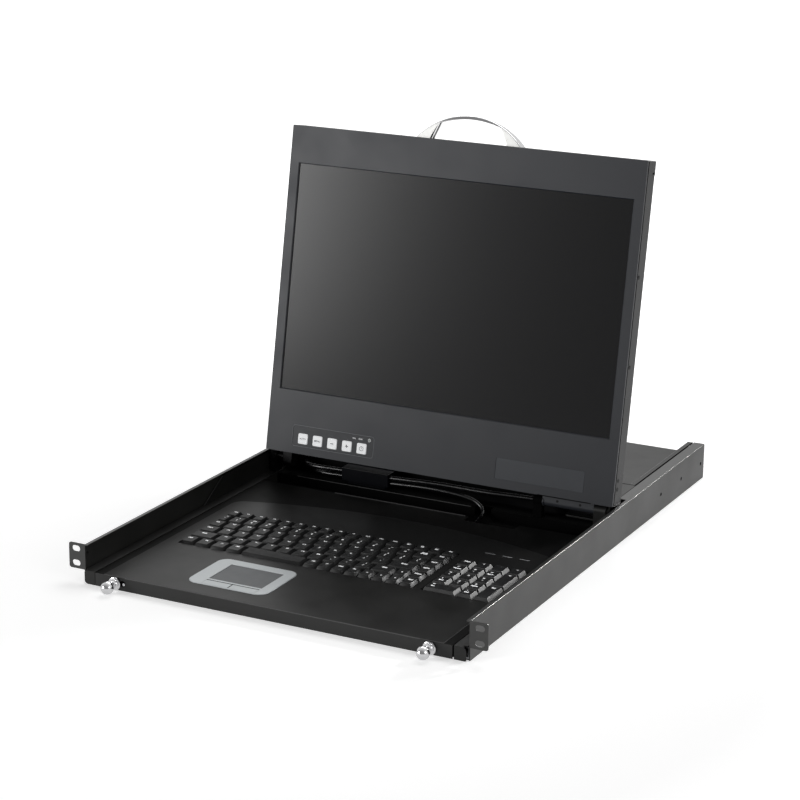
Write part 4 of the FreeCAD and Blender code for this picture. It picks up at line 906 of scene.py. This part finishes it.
def addLabel():
    n = label
    bm = bmesh.new()
    onScreen(bm, n["x0"], n["x1"], n["up0"], n["up1"], n["front"], n["back"])
    soften(bm, uprights(bm, n["back"] - n["front"]), n["corner"], n["steps"])
    pieceFrom(bm, "bareLabel", ["labelFilm"], "screen")


addLabel()
tell("sheet metal")

# carrying handle
handle = {"from": 33, "to": 43, "easing": 0.7, "segments": 3, "smooth": 50}


def splitLegs(bm):
    # cut where the arch has its longest facet, so that no short edge holds the easing back
    h = handle
    spots = sorted(abs(v.co.x) for v in bm.verts if h["from"] * mm < abs(v.co.x) < h["to"] * mm)
    wide, start = max((b - a, a) for a, b in zip(spots, spots[1:]))
    for side in (-1, 1):
        bmesh.ops.bisect_plane(bm, geom=bm.verts[:] + bm.edges[:] + bm.faces[:],
                               plane_co=(side * (start + wide / 2), 0, 0), plane_no=(1, 0, 0))


easedCopy("lcd_handle", handle["easing"], handle["segments"], handle["smooth"], "carryingHandle", splitLegs)
tell("carrying handle")

# the two cables that are held along the hinge
cables = {
    "screenCable": {
        "radius": 2.75, "node": "screen_cable",
        "points": [(-181, 412, 27.4), (-180.6, 396, 27.2), (-172, 384.5, 27.0), (-155, 380.0, 27.7),
                   (-136, 380.3, 28.5), (-114, 380.1, 28.6), (-92, 380.3, 28.7), (-68, 380.0, 28.7),
                   (-40, 379.6, 29.9), (-8, 380.4, 31.4), (26, 380.7, 31.4), (58, 379.9, 31.3),
                   (88, 380.3, 32.4), (114, 380.9, 33.25), (137, 381.1, 33.35)]},
    "keyboardCable": {
        "radius": 2.4, "node": "keyboard_cable",
        "points": [(-171, 412, 20.8), (-170.8, 397, 20.6), (-162.5, 385.5, 20.7), (-147, 380.6, 21.4),
                   (-128, 380.2, 22.0), (-108, 380.1, 22.1), (-90, 379.9, 22.3), (-68, 380.1, 22.2),
                   (-44, 379.6, 23.6), (-18, 379.2, 25.0), (8, 378.7, 24.9), (32, 378.5, 23.2),
                   (49, 378.0, 19.8), (59, 374.6, 13.4), (63.5, 364, 8.8), (64.5, 345, 7.3), (64.0, 318, 7.4),
                   (64.6, 290, 7.0), (64.4, 256, 7.1), (64.4, 230.1, 7.1)]},
}
cableForm = {"order": 3, "steps": 12, "roundness": 8}


def addCable(name, radius, node, points):
    curve = bpy.data.curves.new(name, "CURVE")
    curve.dimensions = "3D"
    line = curve.splines.new("NURBS")
    line.points.add(len(points) - 1)
    for point, spot in zip(line.points, points):
        point.co = (*at(*spot), 1)
    line.order_u = cableForm["order"]
    line.use_endpoint_u = True
    line.resolution_u = cableForm["steps"]
    curve.bevel_depth = radius * mm
    curve.bevel_resolution = cableForm["roundness"]
    curve.use_fill_caps = True
    curve.materials.append(finishes["cableSheath"])
    cable = bring(name, curve)
    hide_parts(node)
    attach(cable, "tray")


for cableName, cable in cables.items():
    addCable(cableName, **cable)
tell("cables")

# signs on the five buttons, with what each is made of in mm from its middle
plate = {"lift": 0.62, "first": -170.0, "pitch": 19.2, "up": 18.2, "inkBack": 0.02, "inkFront": 0.03,
         "word": 2.1, "bold": 0.05, "ring": (2.7, 2.15), "stroke": ((-0.3, -0.2), (0.3, 1.5)),
         "bar": ((-2.0, -0.45), (2.0, 0.45)), "barAbove": ((-0.45, 0.46), (0.45, 2.0)),
         "barBelow": ((-0.45, -2.0), (0.45, -0.46))}
buttonSigns = {"auto": (), "menu": (), "minus": ("bar",), "plus": ("bar", "barAbove", "barBelow"),
               "power": ("stroke",)}


def ringOn(bm, middle, radii, thick=0.05, steps=40):
    # a small oblong turned once round the middle
    outer, inner = radii
    corners = ((outer, 0), (outer, thick), (inner, thick), (inner, 0))
    verts = [bm.verts.new(middle + faceTurn @ (Vector((r, 0, height)) * mm)) for r, height in corners]
    edges = [bm.edges.new((v, verts[i - 1])) for i, v in enumerate(verts)]
    bmesh.ops.spin(bm, geom=verts + edges, cent=middle, axis=faceTurn @ Vector((0, 0, 1)), angle=math.tau,
                   steps=steps, use_merge=True)
    closeAll(bm)


def addButtonMarks():
    p = plate
    for index, (name, shapes) in enumerate(buttonSigns.items()):
        bm = bmesh.new()
        x, up, behind = p["first"] + index * p["pitch"], p["up"], -p["lift"]
        if not shapes:
            addMark(bm, name.upper(), p["word"], screenAt(x, up, behind), faceTurn, p["bold"])
        if name == "power":
            ringOn(bm, screenAt(x, up, behind), p["ring"])
        front, back = behind - p["inkFront"], behind + p["inkBack"]
        for shape in shapes:
            (left, low), (right, high) = p[shape]
            onScreen(bm, x + left, x + right, up + low, up + high, front, back)
        pieceFrom(bm, name + "Mark", ["greyInk"], nodes["screen_button_" + name]["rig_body"])


addButtonMarks()

# raised rim round the button plate
rim = {"x0": -184.2, "x1": -77.8, "up0": 8.8, "up1": 33.7, "corner": 3.6, "wide": 0.45, "proud": 0.12,
       "sunk": 0.02, "steps": 8}


def addPlateRim():
    # a plate with round corners, of which only the border stays
    r = rim
    bm = bmesh.new()
    onScreen(bm, r["x0"], r["x1"], r["up0"], r["up1"], -r["proud"], r["sunk"])
    soften(bm, uprights(bm, r["proud"] + r["sunk"]), r["corner"], r["steps"])
    plates = [f for f in bm.faces if len(f.verts) > 4]
    for f in plates:
        bmesh.ops.inset_region(bm, faces=[f], thickness=r["wide"] * mm, use_even_offset=True, depth=0)
    bmesh.ops.delete(bm, geom=plates, context="FACES_ONLY")
    bmesh.ops.bridge_loops(bm, edges=[e for e in bm.edges if len(e.link_faces) == 1])
    closeAll(bm)
    pieceFrom(bm, "plateRim", ["plateRim"], "screen")


# small round fittings: places, radii of the two ends and depth in mm
sideScrew = {"across": 217.5, "ups": (19.0, 28.0), "behind": 10.0, "radii": (1.1, 1.0), "depth": 0.3,
             "segments": 24}
latch = {"skin": -4.1, "segments": 32,
         "latchHoleShade": {"finish": "paintedShade", "radius": 3.4, "across": -172.6, "up": 8.0, "front": -4.28},
         "latchPin": {"finish": "brightChrome", "radius": 1.5, "across": -171.3, "up": 7.6, "front": -4.5}}


def addPeg(bm, middle, axis, radii, depth, segments):
    made = bmesh.ops.create_cone(bm, cap_ends=True, segments=segments, radius1=radii[0] * mm,
                                 radius2=radii[1] * mm, depth=depth * mm)
    turn = Matrix.Translation(middle) @ Matrix.Rotation(math.radians(90), 4, axis)
    bmesh.ops.transform(bm, matrix=turn, verts=made["verts"])


def addSideScrews():
    # heads of the two screws low on the shell's right side
    s = sideScrew
    bm = bmesh.new()
    for up in s["ups"]:
        addPeg(bm, screenAt(s["across"], up, s["behind"]), "Y", s["radii"], s["depth"], s["segments"])
    pieceFrom(bm, "sideScrewHeads", ["blackOxide"], "screen")


def addLatchHole():
    # small hole with a bright pin in it beside the left knob; the hole is a dark disc of painted shade
    skin = latch["skin"]
    for name in ("latchHoleShade", "latchPin"):
        n = latch[name]
        bm = bmesh.new()
        middle = at(n["across"], (n["front"] + skin) / 2, n["up"])
        addPeg(bm, middle, "X", (n["radius"], n["radius"]), skin - n["front"], latch["segments"])
        pieceFrom(bm, name, [n["finish"]], "tray")


# painted shade: dark strips at the ends of the seam over the corner catches, and in the gap between screen
# and barrel
seamEnd = {"inner": 217.3, "outer": 217.62, "span": (360.0, 376.0, 2.65, 4.7),
           "overBarrel": (128.0, 192.0, -0.4, 0.6, -0.15, 0.5)}


def addSeamEndShades():
    s = seamEnd
    bm = bmesh.new()
    for side in (-1, 1):
        onScreen(bm, *mirroredSpan(side, s["inner"], s["outer"]), *s["span"])
    onScreen(bm, *s["overBarrel"])
    pieceFrom(bm, "seamShadeStrips", ["paintedShade"], "screen")


# the lamp's ring and the small print beside it
lampPrint = {"across": -84.0, "up": 29.0, "ring": (1.8, 1.5), "thick": 0.1, "size": 1.7, "bold": 0.02,
             "words": (("ON", -104.0), ("STBY", -95.5)), "drop": 0.3, "behind": 0.24}


def addPlatePrint():
    n = lampPrint
    bm = bmesh.new()
    ringOn(bm, screenAt(n["across"], n["up"], 0), n["ring"], n["thick"])
    for text, across in n["words"]:
        spot = screenAt(across, n["up"] - n["drop"], n["behind"])
        addMark(bm, text, n["size"], spot, faceTurn, n["bold"])
    pieceFrom(bm, "platePrint", ["keyInkPaintedGlow"], "screen")


addPlateRim()
addSideScrews()
addLatchHole()
addSeamEndShades()
addPlatePrint()
tell("signs and small fittings")

# camera, lights and floor
camera = {"place": (1.13977, -1.95134, 0.87461), "yaw": -0.4719, "pitch": 0.289, "roll": 0.0103,
          "lens": 108.66, "sensor": 36, "clipEnd": 50}


def addCamera():
    c = camera
    ahead = Vector((math.sin(c["yaw"]) * math.cos(c["pitch"]), math.cos(c["yaw"]) * math.cos(c["pitch"]),
                    -math.sin(c["pitch"])))
    level = Vector((math.cos(c["yaw"]), -math.sin(c["yaw"]), 0))
    above = level.cross(ahead)
    across = level * math.cos(c["roll"]) + above * math.sin(c["roll"])
    upward = above * math.cos(c["roll"]) - level * math.sin(c["roll"])
    eye = bring("camera", bpy.data.cameras.new("camera"))
    eye.data.lens = c["lens"]
    eye.data.sensor_width = c["sensor"]
    eye.data.clip_end = c["clipEnd"]
    eye.matrix_world = Matrix.Translation(c["place"]) @ Matrix((across, upward, -ahead)).transposed().to_4x4()
    bpy.context.scene.camera = eye


lamps = {
    "overhead": {"place": (-0.3, 1.9, 2.2), "aim": (0, 0.1, 0), "size": (2.4, 1.5), "power": 34},
    "frontLeft": {"place": (-2.6, -2.4, 0.85), "aim": (0, 0.3, 0.25), "size": (1.5, 1.2), "power": 62},
    "right": {"place": (2.6, -0.8, 1.2), "aim": (0.1, 0.2, 0.1), "size": (1.6, 1.4), "power": 10},
    "backRight": {"place": (1.45, 2.3, 1.1), "aim": (0.15, 0.17, 0.0), "size": (0.35, 0.4), "power": 0.4,
                  "beam": 14},
}


def addLamp(name, place, aim, size, power, beam=180):
    data = bpy.data.lights.new(name, "AREA")
    data.shape = "RECTANGLE"
    data.size, data.size_y = size
    data.energy = power
    data.spread = math.radians(beam)
    lamp = bring(name, data)
    lamp.location = place
    lamp.rotation_euler = (Vector(aim) - Vector(place)).to_track_quat("-Z", "Y").to_euler()


# the room: how bright it is to plain light, in reflections and when seen directly
surround = {"diffuse": 0.27, "mirrored": 0.75, "seen": 1.0, "frontSeen": 0.32, "dimFrom": -0.75,
            "dimTo": 0.15}


def addSurround():
    s = surround
    world = bpy.data.worlds.new("studio")
    bpy.context.scene.world = world
    world.use_nodes = True
    tree = world.node_tree
    back = tree.nodes["Background"]
    path = addNode(tree, "ShaderNodeLightPath")
    clear = addNode(tree, "ShaderNodeMath", operation="MAXIMUM")
    join(tree, path, "Is Camera Ray", clear, 0)
    join(tree, path, "Is Transmission Ray", clear, 1)
    glossy = spread(tree, path, "Is Glossy Ray", s["diffuse"], s["mirrored"], start=0.0, end=1.0)
    strength = addNode(tree, "ShaderNodeMix", data_type="FLOAT")
    join(tree, clear, 0, strength, mixNumber["factor"])
    join(tree, glossy, "Result", strength, mixNumber["low"])
    strength.inputs[mixNumber["high"]].default_value = s["seen"]
    join(tree, strength, mixNumber["result"], back, "Strength")
    # the room in front of the drawer is dimmer than the sweep behind it
    parts = addNode(tree, "ShaderNodeSeparateXYZ")
    join(tree, addNode(tree, "ShaderNodeTexCoord"), "Generated", parts, 0)
    ahead = spread(tree, parts, "Y", s["frontSeen"], 1.0, s["dimFrom"], s["dimTo"])
    join(tree, ahead, "Result", back, "Color")


# the table fades to white with distance where it is seen directly, and is dimmer in reflections
table = {"size": 40.0, "tone": 0.80, "mirrored": 0.34, "roughness": 0.9, "specular": 0.1, "glossyGlow": 0.5,
         "nearGlow": 0.50, "farGlow": 1.0, "nearEnd": 0.5, "farStart": 1.1}


def tableFinish():
    t = table
    tree, shader = startFinish("tableWhite", (t["tone"],) * 3, t["roughness"], specular=t["specular"])
    path = addNode(tree, "ShaderNodeLightPath")
    tintBetween(tree, path, "Is Glossy Ray", shader, (t["tone"],) * 3, (t["mirrored"],) * 3)
    reach = addNode(tree, "ShaderNodeVectorMath", operation="LENGTH")
    join(tree, addNode(tree, "ShaderNodeTexCoord"), "Object", reach, 0)
    level = spread(tree, reach, "Value", t["nearGlow"], t["farGlow"], t["nearEnd"], t["farStart"])
    direct = addNode(tree, "ShaderNodeMath", operation="MULTIPLY")
    join(tree, path, "Is Camera Ray", direct, 0)
    join(tree, level, "Result", direct, 1)
    strength = addNode(tree, "ShaderNodeMath", operation="MULTIPLY_ADD")
    join(tree, path, "Is Glossy Ray", strength, 0)
    strength.inputs[1].default_value = t["glossyGlow"]
    join(tree, direct, 0, strength, 2)
    glow = addNode(tree, "ShaderNodeEmission")
    join(tree, strength, 0, glow, "Strength")
    total = addNode(tree, "ShaderNodeAddShader")
    join(tree, shader, 0, total, 0)
    join(tree, glow, 0, total, 1)
    join(tree, total, 0, tree.nodes["Material Output"], "Surface")
    return finishes["tableWhite"]


def addFloor():
    bm = bmesh.new()
    bmesh.ops.create_grid(bm, x_segments=1, y_segments=1, size=table["size"])
    bmesh.ops.translate(bm, vec=(0, 0, cadBox[0].z), verts=bm.verts)
    mesh = bpy.data.meshes.new("tableTop")
    bm.to_mesh(mesh)
    bm.free()
    mesh.materials.append(tableFinish())
    floor = bring("tableTop", mesh)


addCamera()
for lampName, lamp in lamps.items():
    addLamp(lampName, **lamp)
addSurround()
addFloor()
bpy.context.scene.view_settings.view_transform = "Standard"
tell("camera, lights and floor")

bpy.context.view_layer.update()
tell("done")
